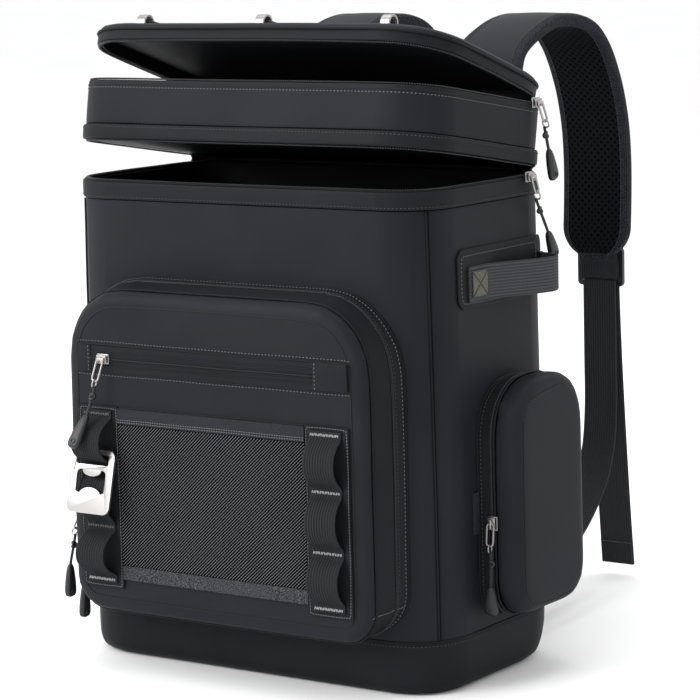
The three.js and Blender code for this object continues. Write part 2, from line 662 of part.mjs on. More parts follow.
// A column of webbing on its backing, tacked down four times with three loops between the tacks
function addColumn(sign, name, bulges) {
  const inner = MESH_WIDTH / 2 + GAP;
  const edges = [sign * inner, sign * (inner + BACKING_WIDTH)].toSorted((a, b) => a - b);
  const face = PANEL_FACE + GAP;
  addPiece(`webbing_backing_${name}`,
    plate(outline(...edges, BACKING_LOW, BACKING_HIGH, 1), face, face + PATCH, onFront), SHELL_DARK);

  const seat = face + PATCH + GAP + WEB / 2;
  const heightOf = (share) => mix(BACKING_LOW, BACKING_HIGH, share);
  const station = (height, out) => ({
    at: point(sign * COLUMN_OFFSET, height, seat + out), width: COLUMN_WIDTH, thickness: WEB,
  });
  const stations = [];
  TACKS.forEach((share, i) => {
    const tack = heightOf(share);
    stations.push(station(tack + TACK_HEIGHT / 2, 0), station(tack - TACK_HEIGHT / 2, 0));
    if (i === TACKS.length - 1) return;
    const from = tack - TACK_HEIGHT / 2;
    const to = heightOf(TACKS[i + 1]) + TACK_HEIGHT / 2;
    for (const { down, out } of LOOP_FORM) stations.push(station(mix(from, to, down), bulges[i] * out));
  });
  const place = (p) => onFront(p.x, p.y, p.z);
  addPiece(`webbing_${name}`, ribbon(stations, point(1, 0, 0), FLAT, place), WEBBING);
}

// Rounded rectangle path for flat metal and moulded parts, centred on x = 0
function barPath(width, top, height, radius, Kind = THREE.Path) {
  const x = width / 2;
  const low = top - height;
  const path = new Kind();
  path.moveTo(-x + radius, low);
  path.absarc(x - radius, low + radius, radius, -Math.PI / 2, 0);
  path.absarc(x - radius, top - radius, radius, 0, Math.PI / 2);
  path.absarc(-x + radius, top - radius, radius, Math.PI / 2, Math.PI);
  path.absarc(-x + radius, low + radius, radius, Math.PI, 1.5 * Math.PI);
  return path;
}

function addOpener() {
  const frame = barPath(OPENER_WIDTH, 0, OPENER_HEIGHT, OPENER_CORNER, THREE.Shape);
  frame.holes.push(barPath(OPENER_SLOT_WIDTH, -OPENER_BAR, OPENER_SLOT_HEIGHT, OPENER_SLOT_CORNER));
  // The window narrows to two prying lips at its foot.
  const high = -2 * OPENER_BAR - OPENER_SLOT_HEIGHT;
  const low = high - OPENER_WINDOW_HEIGHT;
  const half = OPENER_WINDOW_WIDTH / 2;
  const window = new THREE.Path();
  window.moveTo(-half, low + OPENER_LIP);
  window.quadraticCurveTo(-half / 2, low, 0, low + OPENER_LIP);
  window.quadraticCurveTo(half / 2, low, half, low + OPENER_LIP);
  window.lineTo(half, high - OPENER_LIP);
  window.quadraticCurveTo(half, high, half - OPENER_LIP, high);
  window.lineTo(-half + OPENER_LIP, high);
  window.quadraticCurveTo(-half, high, -half, high - OPENER_LIP);
  frame.holes.push(window);
  const body = new THREE.ExtrudeGeometry(frame,
    { depth: OPENER_THICKNESS, bevelEnabled: false, curveSegments: 4 });
  const opener = addPiece("bottle_opener", body, STEEL);
  const seat = PANEL_FACE + GAP + PATCH + OPENER_STANDOFF;
  opener.position.copy(onFront(OPENER_CENTRE, OPENER_TOP, seat));
  opener.rotation.x = Math.PI / 2 - degrees(OPENER_LEAN);
}

function addSide(sign, name) {
  const place = onSide(sign);
  const placed = (p) => place(p.x, p.y, p.z);
  const upright = point(0, 1, 0);

  // The patch wraps onto the back corner.
  const middle = (PATCH_LOW + PATCH_HIGH) / 2;
  const patch = PATCH_FORM.map(({ along, height }) => ({
    at: point(mix(PATCH_FRONT, PATCH_BACK, along), middle, GAP + PATCH / 2),
    width: (PATCH_HIGH - PATCH_LOW) * height, thickness: PATCH,
  }));
  addPiece(`side_patch_${name}`, ribbon(patch, upright, FLAT, placed), SHELL_DARK);

  const seat = GAP + PATCH + GAP + WEB / 2;
  const handle = HANDLE_FORM.map(({ along, out }) => ({
    at: point(mix(HANDLE_FRONT, HANDLE_BACK, along), HANDLE_HEIGHT, seat + HANDLE_BULGE * out),
    width: HANDLE_WIDTH, thickness: WEB,
  }));
  addPiece(`side_handle_${name}`, ribbon(handle, upright, FLAT, placed), WEBBING);

  const seam = outline(SIDE_FRONT, SIDE_BACK, SIDE_LOW, SIDE_HIGH, SIDE_CORNER_LOW, SIDE_CORNER_HIGH);
  const face = { ...seam, v0: SIDE_LOW + SIDE_LIFT, v1: SIDE_HIGH + SIDE_LIFT };
  const zip = between(seam, face, SIDE_STRIP / SIDE_DEPTH);
  addPiece(`side_pocket_base_${name}`, tubeWall(seam, zip, GAP, SIDE_STRIP, SKIN, place), SHELL_DARK);
  const level = (by, w) => ringOf(inset(between(seam, face, w / SIDE_DEPTH), by), w, place);
  const foot = SIDE_STRIP + GAP;
  addPiece(`side_pocket_cover_${name}`, loft([
    level(SIDE_ROLL, SIDE_DEPTH - SKIN),
    level(SKIN + SIDE_ROLL * SIDE_INNER, SIDE_DEPTH - SKIN * 2),
    level(SKIN, foot),
    level(0, foot),
    ...SIDE_FORM.map(({ drawn, sunk }) => level(SIDE_ROLL * drawn, SIDE_DEPTH - SIDE_ROLL * sunk)),
  ]), SHELL);
}

// A bare tag caught in the right side pocket's front seam
function addTag() {
  const tag = outline(SIDE_FRONT - GAP - TAG_WIDTH, SIDE_FRONT - GAP, TAG_LOW, TAG_HIGH, 1);
  addPiece("side_tag", plate(tag, GAP, GAP + TAG_THICKNESS, onSide(1)), WEBBING);
}

function addBackPanel() {
  const pad = outline(-BACK_PAD_WIDTH / 2, BACK_PAD_WIDTH / 2, BACK_PAD_LOW, BACK_PAD_HIGH, BACK_PAD_CORNER);
  addPiece("back_panel", loft(ringsOf(pad, [
    { by: 0, w: GAP },
    ...BACK_PAD_FORM.map(({ drawn, raised }) => ({ by: BACK_PAD_ROLL * drawn, w: BACK_PAD_DEPTH * raised })),
  ], onBack)), MESH);
}

function addStrap(sign, name) {
  const rootHeight = BODY_HEIGHT - STRAP_DROP;
  const rootBack = sectionAt(rootHeight).back + GAP + STRAP_THICKNESS / 2;
  const stations = STRAP_ROUTE.map(({ back, up, width }) => ({
    at: point(sign * STRAP_OFFSET, rootBack + back * STRAP_REACH, rootHeight + up * STRAP_RISE),
    width: STRAP_WIDTH * width, thickness: STRAP_THICKNESS,
  }));
  addPiece(`strap_pad_${name}`, ribbon(stations, point(1, 0, 0), PADDED), SHELL);

  // The lock lies on the strap's outer face and hangs past its end.
  const end = stations.at(-1).at;
  const lockTop = end.z + LOCK_OVERLAP;
  const beside = stations.filter(({ at }) => at.z < lockTop + STRAP_THICKNESS);
  const inner = Math.max(...beside.map(({ at }) => at.y)) + STRAP_THICKNESS / 2 + GAP;
  const frame = barPath(LOCK_WIDTH, 0, LOCK_HEIGHT, LOCK_BAR, THREE.Shape);
  const slotWidth = LOCK_WIDTH - 2 * LOCK_BAR;
  const slotTop = -LOCK_HEIGHT + LOCK_BAR + LOCK_SLOT;
  frame.holes.push(barPath(slotWidth, slotTop, LOCK_SLOT, 1));
  frame.holes.push(barPath(slotWidth, slotTop + LOCK_BAR + LOCK_SLOT, LOCK_SLOT, 1));
  const lock = addPiece(`ladder_lock_${name}`,
    new THREE.ExtrudeGeometry(frame, { depth: LOCK_THICKNESS, bevelEnabled: false, curveSegments: 3 }),
    MOULDED);
  lock.position.set(sign * STRAP_OFFSET, inner + LOCK_THICKNESS, lockTop);
  lock.rotation.x = Math.PI / 2;

  // The webbing is sewn in above the boot, rises to the lock, turns over its lower bar and hangs as a tail.
  const barTop = lockTop - LOCK_HEIGHT + LOCK_BAR;
  const seat = GAP + WEB / 2;
  const rise = { y: inner - seat, z: barTop };
  const anchor = { y: sectionAt(BOOT_HEIGHT).back + GAP, z: BOOT_HEIGHT + ANCHOR_LIFT };
  const lower = LOWER_ROUTE.map(({ out, down, aside }) => point(
    sign * mix(STRAP_OFFSET, ANCHOR_OFFSET, aside), mix(anchor.y, rise.y, out), mix(rise.z, anchor.z, down)));
  const outer = inner + LOCK_THICKNESS + seat;
  const x = sign * STRAP_OFFSET;
  const turn = [
    point(x, rise.y, barTop - LOCK_BAR),
    point(x, rise.y, barTop),
    point(x, rise.y + seat, barTop + seat),
    point(x, outer - seat, barTop + seat),
    point(x, outer, barTop),
    point(x, outer, barTop - LOCK_BAR),
  ];
  const tailAt = (share) =>
    point(x, outer + TAIL_SPREAD * share ** TAIL_BEND, barTop - LOCK_BAR - TAIL_LENGTH * share);
  const hem = 1 - TAIL_HEM / TAIL_LENGTH;
  const tail = [...TAIL_STATIONS, hem - HEM_STEP, hem, 1];
  const route = [...lower.toReversed(), ...turn, ...tail.map(tailAt)];
  const hemFrom = route.length - 2;
  addPiece(`strap_webbing_${name}`, ribbon(route.map((at, i) => ({
    at, width: ADJUST_WIDTH, thickness: i < hemFrom ? WEB : 2 * WEB,
  })), point(1, 0, 0)), WEBBING);
}

// One zip pull: a slider with its link, and a cord with its grip
function addPull(name, at, run, out, { eye, neck, tip }) {
  const from = (offset) => at.clone().add(point(...offset));
  const side = run.clone().cross(out);
  const onZip = (u, v, w) =>
    at.clone().addScaledVector(side, u).addScaledVector(run, v).addScaledVector(out, w);
  const block = (width, length, w0, w1) =>
    plate(outline(-width / 2, width / 2, -length / 2, length / 2, width / 4), w0, w1, onZip, 2);
  const body = block(SLIDER_WIDTH, SLIDER_LENGTH, -SLIDER_THICKNESS / 2, SLIDER_THICKNESS / 2);
  const bridgeTop = SLIDER_THICKNESS / 2 + LINK_THICKNESS;
  const bridge = block(BRIDGE_WIDTH, BRIDGE_LENGTH, 0, bridgeTop);

  const start = at.clone().addScaledVector(out, SLIDER_THICKNESS / 2);
  const along = from(eye).sub(start);
  const length = along.length();
  along.normalize();
  const across = out.clone().cross(along).normalize();
  const flat = across.clone().cross(along);
  const onLink = (u, v, w) =>
    start.clone().addScaledVector(across, u).addScaledVector(along, v).addScaledVector(flat, w);
  const wire = (LINK_WIDTH - LINK_EYE) / 2;
  const oval = outline(-LINK_WIDTH / 2, LINK_WIDTH / 2, -wire, length, LINK_WIDTH / 2 - ROUNDED);
  const link = tubeWall(oval, oval, -LINK_THICKNESS / 2, LINK_THICKNESS / 2, wire, onLink);
  addPiece(`slider_${name}`, fuse(body, bridge, link), STEEL);

  const top = from(eye).addScaledVector(along, GAP + PULL_CORD_RADIUS / 2);
  const grip = from(tip).sub(from(neck));
  const inside = from(neck).addScaledVector(grip, CORD_REACH);
  const cord = tube([top, top.clone().lerp(inside, 0.5), inside], PULL_CORD_RADIUS, 6);
  const moulded = ribbon(GRIP_FORM.map(({ along: share, size }) => ({
    at: from(neck).addScaledVector(grip, share), width: GRIP_WIDTH * size, thickness: GRIP_THICKNESS * size,
  })), across, PADDED);
  addPiece(`pull_${name}`, fuse(cord, moulded), MOULDED);
}

function addPulls(deck) {
  const seat = GAP + SLIDER_THICKNESS / 2;
  const [right, left, forward, up] = [point(1, 0, 0), point(-1, 0, 0), point(0, -1, 0), point(0, 0, 1)];
  const slim = onFront(SLIM_SLIDER - SLIM_WIDTH / 2, SLIM_LOW + SLIM_HEIGHT / 2,
    PANEL_FACE + GAP + SLIM_THICKNESS + seat);
  addPull("slim", slim, right, forward, SLIM_HANG);

  const side = onSide(1)(SIDE_FRONT, SIDE_SLIDER, SIDE_STRIP + GAP / 2).addScaledVector(forward, seat);
  addPull("side", side, up, forward, SIDE_HANG);

  const back = BODY_DEPTH / 2;
  const main = point(BODY_WIDTH / 2 + RIM_PROUD + seat, back - MAIN_SLIDER, BODY_HEIGHT);
  addPull("main", main, forward, right, MAIN_HANG);

  deck.updateMatrixWorld(true);
  const upper = point(BODY_WIDTH / 2 + seat, -UPPER_SLIDER, DECK_HEIGHT + LID_SEAM / 2);
  addPull("upper", deck.localToWorld(upper), forward, right, UPPER_HANG);

  // The pocket's side slopes, so a slider seats on its rear edge.
  const zip = between(POCKET_SEAM, PANEL_RIM, (POCKET_STRIP - SLIDER_WIDTH / 2) / POCKET_DEPTH);
  const wall = zip.u0 - seat;
  const depth = POCKET_STRIP - GAP / 2;
  addPull("pocket_high", onFront(wall, POCKET_SLIDER_HIGH, depth), up, left, POCKET_HANG_HIGH);
  addPull("pocket_low", onFront(wall, POCKET_SLIDER_LOW, depth), up, left, POCKET_HANG_LOW);
}

backpack.name = "cooler_backpack";
addBody();
addPiping(-1, "piping_front_left");
addPiping(1, "piping_front_right");
const openDeck = addDeck();
addFrontPocket();
addColumn(-1, "left", LEFT_BULGE);
addColumn(1, "right", RIGHT_BULGE);
addOpener();
addSide(-1, "left");
addSide(1, "right");
addTag();
addBackPanel();
addStrap(-1, "left");
addStrap(1, "right");
addPulls(openDeck);

export default backpack;
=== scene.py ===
# Cooler backpack: fabric, webbing, zips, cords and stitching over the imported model. Metres, +Z up.
import json
from contextlib import contextmanager
from math import cos, pi, radians, sin

import bmesh
import bpy
import numpy as np
from bpy.props import FloatProperty, FloatVectorProperty, IntProperty, PointerProperty
from mathutils import Matrix, Vector
from mathutils.bvhtree import BVHTree

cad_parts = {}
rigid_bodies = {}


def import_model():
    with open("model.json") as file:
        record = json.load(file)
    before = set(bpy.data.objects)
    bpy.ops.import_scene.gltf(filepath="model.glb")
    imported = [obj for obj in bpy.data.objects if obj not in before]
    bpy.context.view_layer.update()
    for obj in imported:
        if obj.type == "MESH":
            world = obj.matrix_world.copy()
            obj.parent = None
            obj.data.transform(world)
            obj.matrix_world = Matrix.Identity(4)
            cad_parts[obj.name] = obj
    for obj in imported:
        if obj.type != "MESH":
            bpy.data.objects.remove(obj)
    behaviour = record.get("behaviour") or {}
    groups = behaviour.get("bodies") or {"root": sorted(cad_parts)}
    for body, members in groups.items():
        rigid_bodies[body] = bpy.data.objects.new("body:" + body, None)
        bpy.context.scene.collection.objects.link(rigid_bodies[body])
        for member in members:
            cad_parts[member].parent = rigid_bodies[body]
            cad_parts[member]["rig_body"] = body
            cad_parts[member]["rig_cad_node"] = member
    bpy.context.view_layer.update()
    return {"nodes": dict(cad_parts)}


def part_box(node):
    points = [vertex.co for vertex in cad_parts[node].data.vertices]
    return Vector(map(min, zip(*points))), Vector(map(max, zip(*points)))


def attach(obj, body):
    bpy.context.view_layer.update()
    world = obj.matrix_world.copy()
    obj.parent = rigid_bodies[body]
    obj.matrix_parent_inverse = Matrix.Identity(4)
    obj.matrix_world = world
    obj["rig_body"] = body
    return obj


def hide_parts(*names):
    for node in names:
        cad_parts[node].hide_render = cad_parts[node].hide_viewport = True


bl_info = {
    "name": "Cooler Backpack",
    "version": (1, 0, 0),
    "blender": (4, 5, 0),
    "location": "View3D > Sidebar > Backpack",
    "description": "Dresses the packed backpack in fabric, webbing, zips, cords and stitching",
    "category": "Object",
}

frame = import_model()
NODES = frame["nodes"]

MM = 0.001
WELD = 0.01 * MM
SIDES = {"left": -1, "right": 1}
ACROSS, DEEP, UP = Vector((1, 0, 0)), Vector((0, 1, 0)), Vector((0, 0, 1))
FRONT = -DEEP


def srgb(red, green, blue):
    """A linear colour from an 8-bit one."""
    shares = [value / 255 for value in (red, green, blue)]
    return tuple(s / 12.92 if s <= 0.04045 else ((s + 0.055) / 1.055) ** 2.4 for s in shares)


def length_setting(name, description, default):
    return FloatProperty(name=name, description=description, default=default, min=0, unit="LENGTH")


def colour_setting(name, description, default):
    return FloatVectorProperty(
        name=name, description=description, default=default, size=3, min=0, max=1, subtype="COLOR")


def angle_setting(name, description, degrees):
    return FloatProperty(name=name, description=description, default=radians(degrees), subtype="ANGLE")


class BackpackSizes(bpy.types.PropertyGroup):
    """Sizes of the fine parts"""

    stitch: length_setting("Stitch", "Length of one stitch", 1.9 * MM)
    stitch_pitch: length_setting("Stitch pitch", "From one stitch to the next", 3.1 * MM)
    thread: length_setting("Thread", "Radius of the sewing thread", 0.45 * MM)
    rib_pitch: length_setting("Rib pitch", "From one webbing rib to the next", 2.5 * MM)
    rib_height: length_setting("Rib height", "Height of a webbing rib", 0.5 * MM)
    tooth_pitch: length_setting("Tooth pitch", "From one zip tooth to the next", 1.9 * MM)
    piping: length_setting("Piping", "Radius of the piping on the pockets", 1.15 * MM)
    belly: length_setting("Belly", "How far the padded walls bulge", 1.8 * MM)
    binding: length_setting("Binding", "Width of the binding on the straps", 7.5 * MM)


class BackpackColours(bpy.types.PropertyGroup):
    """Colours of the finishes"""

    shell: colour_setting("Shell", "Coated shell fabric", srgb(30, 31, 35))
    trim: colour_setting("Trim", "Coated trim fabric", srgb(27, 28, 31))
    lining: colour_setting("Lining", "Smooth lining", srgb(17, 18, 20))
    webbing: colour_setting("Webbing", "Woven webbing", srgb(43, 44, 46))
    thread: colour_setting("Thread", "Sewing thread", srgb(94, 95, 98))
    tack: colour_setting("Tack", "Thread of the bar tacks", srgb(150, 150, 150))
    # the net threads are coloured light grey: painted highlight on the dark net
    net: colour_setting("Net", "Light threads of the pouch net", srgb(94, 95, 98))
    moulded: colour_setting("Moulded", "Moulded plastic", srgb(26, 27, 29))
    steel: colour_setting("Steel", "Satin steel", srgb(226, 222, 220))


class BackpackView(bpy.types.PropertyGroup):
    """Where the camera stands"""

    azimuth: angle_setting("Azimuth", "Turn to the right of the front", 34.43)
    elevation: angle_setting("Elevation", "Angle above the horizon", 8.42)
    roll: angle_setting("Roll", "Tilt of the picture", -1.35)
    distance: length_setting("Distance", "From the camera to its target", 2.298)
    target: FloatVectorProperty(name="Target", description="Point at the middle of the picture",
                                default=(0.0205, 0.0241, 0.2407), size=3, subtype="TRANSLATION")
    lens: FloatProperty(name="Lens", description="Focal length in millimetres", default=148.64)


def sizes():
    return bpy.context.scene.backpack_sizes


def colours():
    return bpy.context.scene.backpack_colours


# Selecting, editing and finishing


def only(*pieces):
    if bpy.context.object and bpy.context.object.mode != "OBJECT":
        bpy.ops.object.mode_set(mode="OBJECT")
    bpy.ops.object.select_all(action="DESELECT")
    for piece in pieces:
        piece.select_set(True)
    bpy.context.view_layer.objects.active = pieces[0]


@contextmanager
def editing(piece, select="SELECT"):
    only(piece)
    bpy.ops.object.mode_set(mode="EDIT")
    bpy.ops.mesh.select_mode(type="VERT")
    bpy.ops.mesh.select_all(action=select)
    yield bmesh.from_edit_mesh(piece.data)
    bpy.ops.object.mode_set(mode="OBJECT")


def apply(piece, kind, **settings):
    only(piece)
    modifier = piece.modifiers.new(kind.title(), kind)
    for key, value in settings.items():
        setattr(modifier, key, value)
    bpy.ops.object.modifier_apply(modifier=modifier.name)


def soften(piece, roll, levels, segments=2):
    """Rolls the sharp edges over and smooths the rest."""
    if roll:
        apply(piece, "BEVEL", width=roll, segments=segments, limit_method="ANGLE", angle_limit=radians(32))
    if levels:
        apply(piece, "SUBSURF", levels=levels, render_levels=levels)


def points_of(piece):
    points = np.empty(len(piece.data.vertices) * 3)
    piece.data.vertices.foreach_get("co", points)
    return points.reshape(-1, 3)


def move_points(piece, points):
    piece.data.vertices.foreach_set("co", np.asarray(points, float).ravel())
    piece.data.update()


def ease(value, low, high):
    share = np.clip((value - low) / (high - low), 0, 1)
    return share * share * (3 - 2 * share)


FOLDS = [  # slow waves that run through every layer: direction, wavelength, phase and height
    ((0.9, 0.2, 0.38), 0.173, 0.4, 0.34),
    ((-0.35, 0.5, 0.79), 0.121, 1.9, 0.26),
    ((0.25, -0.86, 0.45), 0.087, 3.1, 0.18),
    ((0.7, 0.1, -0.7), 0.061, 5.2, 0.1),
]


FRONT_ZONE, SIDE_ZONE = (0.07, 0.1), (0.14, 0.17)   # how far out a wall starts to bulge and bulges fully
BULGE_WIDE, BULGE_DEEP = 0.36, 0.22                 # span of a bulge over the front and over a side


def settle(points):
    """Where soft walls come to rest: they bulge a little, and every layer waves with its neighbours."""
    points = np.array(points, float)
    x, y, z = points.T
    belly = sizes().belly
    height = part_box("main_rim")[1].z
    tall = np.sin(pi * np.clip(z / height, 0, 1)) ** 0.7
    at_front, at_side = ease(-y, *FRONT_ZONE), ease(np.abs(x), *SIDE_ZONE)
    wide, deep = (np.cos(pi * np.clip(place / reach, -0.5, 0.5))
                  for place, reach in ((x, BULGE_WIDE), (y, BULGE_DEEP)))
    points[:, 1] -= belly * at_front * tall * wide
    points[:, 0] += np.sign(x) * belly * at_side * tall * deep
    for direction, wavelength, phase, amount in FOLDS:
        aim = np.array(direction)
        wave = np.sin(2 * pi * (points @ aim) / wavelength + phase) * amount * MM
        points += wave[:, None] * np.array([0.45 * at_side * np.sign(x), -at_front - 0.3, 0.35 + 0 * x]).T
    return points


def complete(piece, finish, slot, *nodes, settled=True):
    """Gives a piece its finish and body, and lets it stand for its nodes. The slot is not used."""
    if settled:
        move_points(piece, settle(points_of(piece)))
    piece.data.materials.clear()
    for material in finish if isinstance(finish, list) else [finish]:
        piece.data.materials.append(material)
    only(piece)
    bpy.ops.object.shade_smooth()
    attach(piece, "root")
    if nodes:
        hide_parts(*nodes)
    return piece


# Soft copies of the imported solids


def copy_of(node, name):
    only(NODES[node])
    bpy.ops.object.duplicate()
    piece = bpy.context.active_object
    piece.name = piece.data.name = name
    piece.parent = None
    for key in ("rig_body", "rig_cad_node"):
        del piece[key]
    with editing(piece):
        bpy.ops.mesh.remove_doubles(threshold=WELD)
        bpy.ops.mesh.tris_convert_to_quads(face_threshold=radians(14), shape_threshold=radians(179))
    return piece


def cut_up(piece, cuts):
    """Cuts a piece across at even steps, so that it can take folds."""
    for direction, pitch in cuts:
        aim = Vector(direction).normalized()
        reach = points_of(piece) @ np.array(aim)
        count = max(round((reach.max() - reach.min()) / pitch), 1)
        for share in np.linspace(reach.min(), reach.max(), count + 1)[1:-1]:
            with editing(piece):
                bpy.ops.mesh.bisect(plane_co=aim * share, plane_no=aim, threshold=0.4 * MM)


def soft_copy(node, name, cuts=(), flats=(), roll=0.8 * MM, levels=2, segments=2):
    """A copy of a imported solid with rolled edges, flat faces made whole, and room for folds."""
    piece = copy_of(node, name)
    for direction in flats:
        with editing(piece, "DESELECT") as shape:
            bpy.ops.mesh.select_mode(type="FACE")
            for face in shape.faces:
                face.select = face.normal.dot(direction) > 0.9995
            bmesh.update_edit_mesh(piece.data)
            bpy.ops.mesh.dissolve_faces()
    cut_up(piece, cuts)
    soften(piece, roll, levels, segments)
    return piece


# Paths


def span(points, closed=False):
    points = np.asarray(points, float)
    ends = np.vstack([points, points[:1]]) if closed else points
    return np.concatenate([[0], np.cumsum(np.linalg.norm(np.diff(ends, axis=0), axis=1))]), ends


def even(points, step, closed=False):
    """Even stations along a path."""
    run, ends = span(points, closed)
    count = max(round(run[-1] / step), 2)
    at = np.linspace(0, run[-1], count + (not closed), endpoint=not closed)
    return np.stack([np.interp(at, run, ends[:, k]) for k in range(3)], axis=1)


def smooth_path(points, step, closed=False):
    """Even stations along a smooth curve through the points."""
    points = np.asarray(points, float)
    if closed:
        run = np.vstack([points[-1:], points, points[:2]])
    else:
        run = np.vstack([2 * points[0] - points[1], points, 2 * points[-1] - points[-2]])
    knots = np.concatenate([[0], np.cumsum(np.linalg.norm(np.diff(run, axis=0), axis=1) ** 0.5)])
    curve = []
    for i in range(1, len(run) - 2):
        p, t = run[i - 1 : i + 3], knots[i - 1 : i + 3]
        count = max(int(np.linalg.norm(p[2] - p[1]) / step) + 1, 5)
        for at in np.linspace(t[1], t[2], count, endpoint=False):
            a = [((t[k + 1] - at) * p[k] + (at - t[k]) * p[k + 1]) / (t[k + 1] - t[k]) for k in range(3)]
            b = [((t[k + 2] - at) * a[k] + (at - t[k]) * a[k + 1]) / (t[k + 2] - t[k]) for k in range(2)]
            curve.append(((t[2] - at) * b[0] + (at - t[1]) * b[1]) / (t[2] - t[1]))
    if not closed:
        curve.append(run[-2])
    return even(curve, step, closed)


def unit(vectors):
    return vectors / np.maximum(np.linalg.norm(vectors, axis=-1, keepdims=True), 1e-12)


def tangents(path, closed=False):
    if closed:
        return unit(np.roll(path, -1, axis=0) - np.roll(path, 1, axis=0))
    return unit(np.gradient(path, axis=0))


def edge_loops(node, sharp=40):
    """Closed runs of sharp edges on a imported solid."""
    shape = bmesh.new()
    shape.from_mesh(NODES[node].data)
    bmesh.ops.remove_doubles(shape, verts=shape.verts, dist=WELD)
    left = [edge for edge in shape.edges if edge.calc_face_angle(0) > radians(sharp)]
    marked, loops = set(left), []
    for edge in left:
        if edge not in marked:
            continue
        marked.discard(edge)
        start, at = edge.verts
        run = [start.co[:]]
        while at is not start:
            run.append(at.co[:])
            edge = next((e for e in at.link_edges if e in marked), None)
            if edge is None:
                break
            marked.discard(edge)
            at = edge.other_vert(at)
        loops.append(np.array(run))
    shape.free()
    return loops


def edge_loop(node, direction, inner=False, rank=0):
    """The outer or inner sharp loop that lies furthest in a direction."""
    aim = np.array(direction)
    loops = sorted(edge_loops(node), key=lambda run: -(run @ aim).mean())
    pair = sorted(loops[2 * rank : 2 * rank + 2], key=lambda run: span(run, True)[0][-1])
    return pair[0] if inner else pair[-1]


def drawn_in(path, by, normal):
    """A closed path drawn in by a distance, in its own plane."""
    along = tangents(path, True)
    inward = unit(np.cross(np.array(normal), along))
    if ((path.mean(axis=0) - path) * inward).sum() < 0:
        inward = -inward
    return path + inward * by


def centre_line(node, towards, count):
    """Centres and corners of a lofted solid's sections, from the end that lies least far in a direction."""
    shape = bmesh.new()
    shape.from_mesh(NODES[node].data)
    bmesh.ops.remove_doubles(shape, verts=shape.verts, dist=WELD)
    ring = sorted(shape.verts, key=lambda v: v.co.dot(Vector(towards)))[:count]
    seen, sections = set(ring), []
    while ring:
        sections.append(np.array([v.co[:] for v in ring]))
        after = {e.other_vert(v) for v in ring for e in v.link_edges} - seen
        seen |= after
        ring = list(after)
    shape.free()
    return np.array([s.mean(axis=0) for s in sections]), sections


# Building meshes from sections and from repeated units


def joined(parts):
    """One set of points, faces and surface places from several."""
    points, faces, places, base = [], [], [], 0
    for part_points, part_faces, part_places in parts:
        points.append(part_points)
        faces += [[base + i for i in face] for face in part_faces]
        places.append(part_places)
        base += len(part_points)
    return np.vstack(points), faces, np.vstack(places)


def sweep(path, out, profile, closed=False, scale=None):
    """A profile of (aside, out) points carried along a path, with places in metres across and along it."""
    path, profile = np.asarray(path, float), np.asarray(profile, float)
    along = tangents(path, closed)
    out = np.broadcast_to(np.asarray(out, float), path.shape)
    out = unit(out - (out * along).sum(1)[:, None] * along)
    aside = np.cross(along, out)
    wide, thick = np.ones((2, len(path), 1, 1)) if scale is None else np.reshape(scale, (2, -1, 1, 1))
    rings = (path[:, None] + aside[:, None] * profile[None, :, :1] * wide
             + out[:, None] * profile[None, :, 1:] * thick)
    count, stations = len(profile), len(path)
    v, _ = span(path, closed)
    u, _ = span(np.column_stack([profile, 0 * profile[:, 0]]), True)
    i, j = np.meshgrid(np.arange(stations if closed else stations - 1), np.arange(count), indexing="ij")
    i, j = i.ravel(), j.ravel()
    after, beside = (i + 1) % stations, (j + 1) % count
    faces = np.column_stack([i * count + j, i * count + beside, after * count + beside, after * count + j])
    places = np.stack([np.column_stack([u[j], v[i]]), np.column_stack([u[j + 1], v[i]]),
                       np.column_stack([u[j + 1], v[i + 1]]), np.column_stack([u[j], v[i + 1]])], axis=1)
    faces, places = faces.tolist(), places.reshape(-1, 2)
    if not closed:
        last = (stations - 1) * count
        faces += [list(range(count))[::-1], list(range(last, last + count))]
        places = np.vstack([places, profile[::-1], profile])
    return rings.reshape(-1, 3), faces, places


def piece_from(name, points, faces, places=None):
    mesh = bpy.data.meshes.new(name)
    mesh.from_pydata(np.asarray(points).tolist(), [], faces)
    if places is not None:
        mesh.uv_layers.new(name="Surface").data.foreach_set("uv", np.asarray(places, np.float32).ravel())
    piece = bpy.data.objects.new(name, mesh)
    bpy.context.scene.collection.objects.link(piece)
    with editing(piece):
        bpy.ops.mesh.normals_make_consistent(inside=False)
    return piece


def swept(name, *sweeps):
    return piece_from(name, *joined(sweeps))


def round_profile(radius, sides=8, flat=1.0):
    turns = np.arange(sides) * 2 * pi / sides
    return np.column_stack([radius * np.cos(turns), radius * flat * np.sin(turns)])


def take(piece):
    """The points and faces of a modelled unit, which is then removed."""
    unit_points, faces = points_of(piece), [list(face.vertices) for face in piece.data.polygons]
    mesh = piece.data
    bpy.data.objects.remove(piece)
    bpy.data.meshes.remove(mesh)
    return unit_points, faces


def spread_out(name, copied, rows):
    """One mesh of a unit copied to every place of every row; a row is (points, axes)."""
    unit_points, unit_faces = copied
    at, axes = np.vstack([row[0] for row in rows]), np.vstack([row[1] for row in rows])
    points = at[:, None] + np.einsum("vk,nkj->nvj", unit_points, axes)
    base = np.arange(len(at))[:, None] * len(unit_points)
    faces = []
    for face in unit_faces:
        faces += (base + np.array(face)[None, :]).tolist()
    return piece_from(name, points.reshape(-1, 3), faces)


def stitch_unit(length=None, radius=None):
    radius = radius or sizes().thread
    bpy.ops.mesh.primitive_uv_sphere_add(segments=6, ring_count=4, radius=radius)
    piece = bpy.context.active_object
    with editing(piece):
        bpy.ops.transform.rotate(value=pi / 2, orient_axis="Y", center_override=(0, 0, 0))
        bpy.ops.transform.resize(value=((length or sizes().stitch) / radius / 2, 1, 0.8))
    return take(piece)


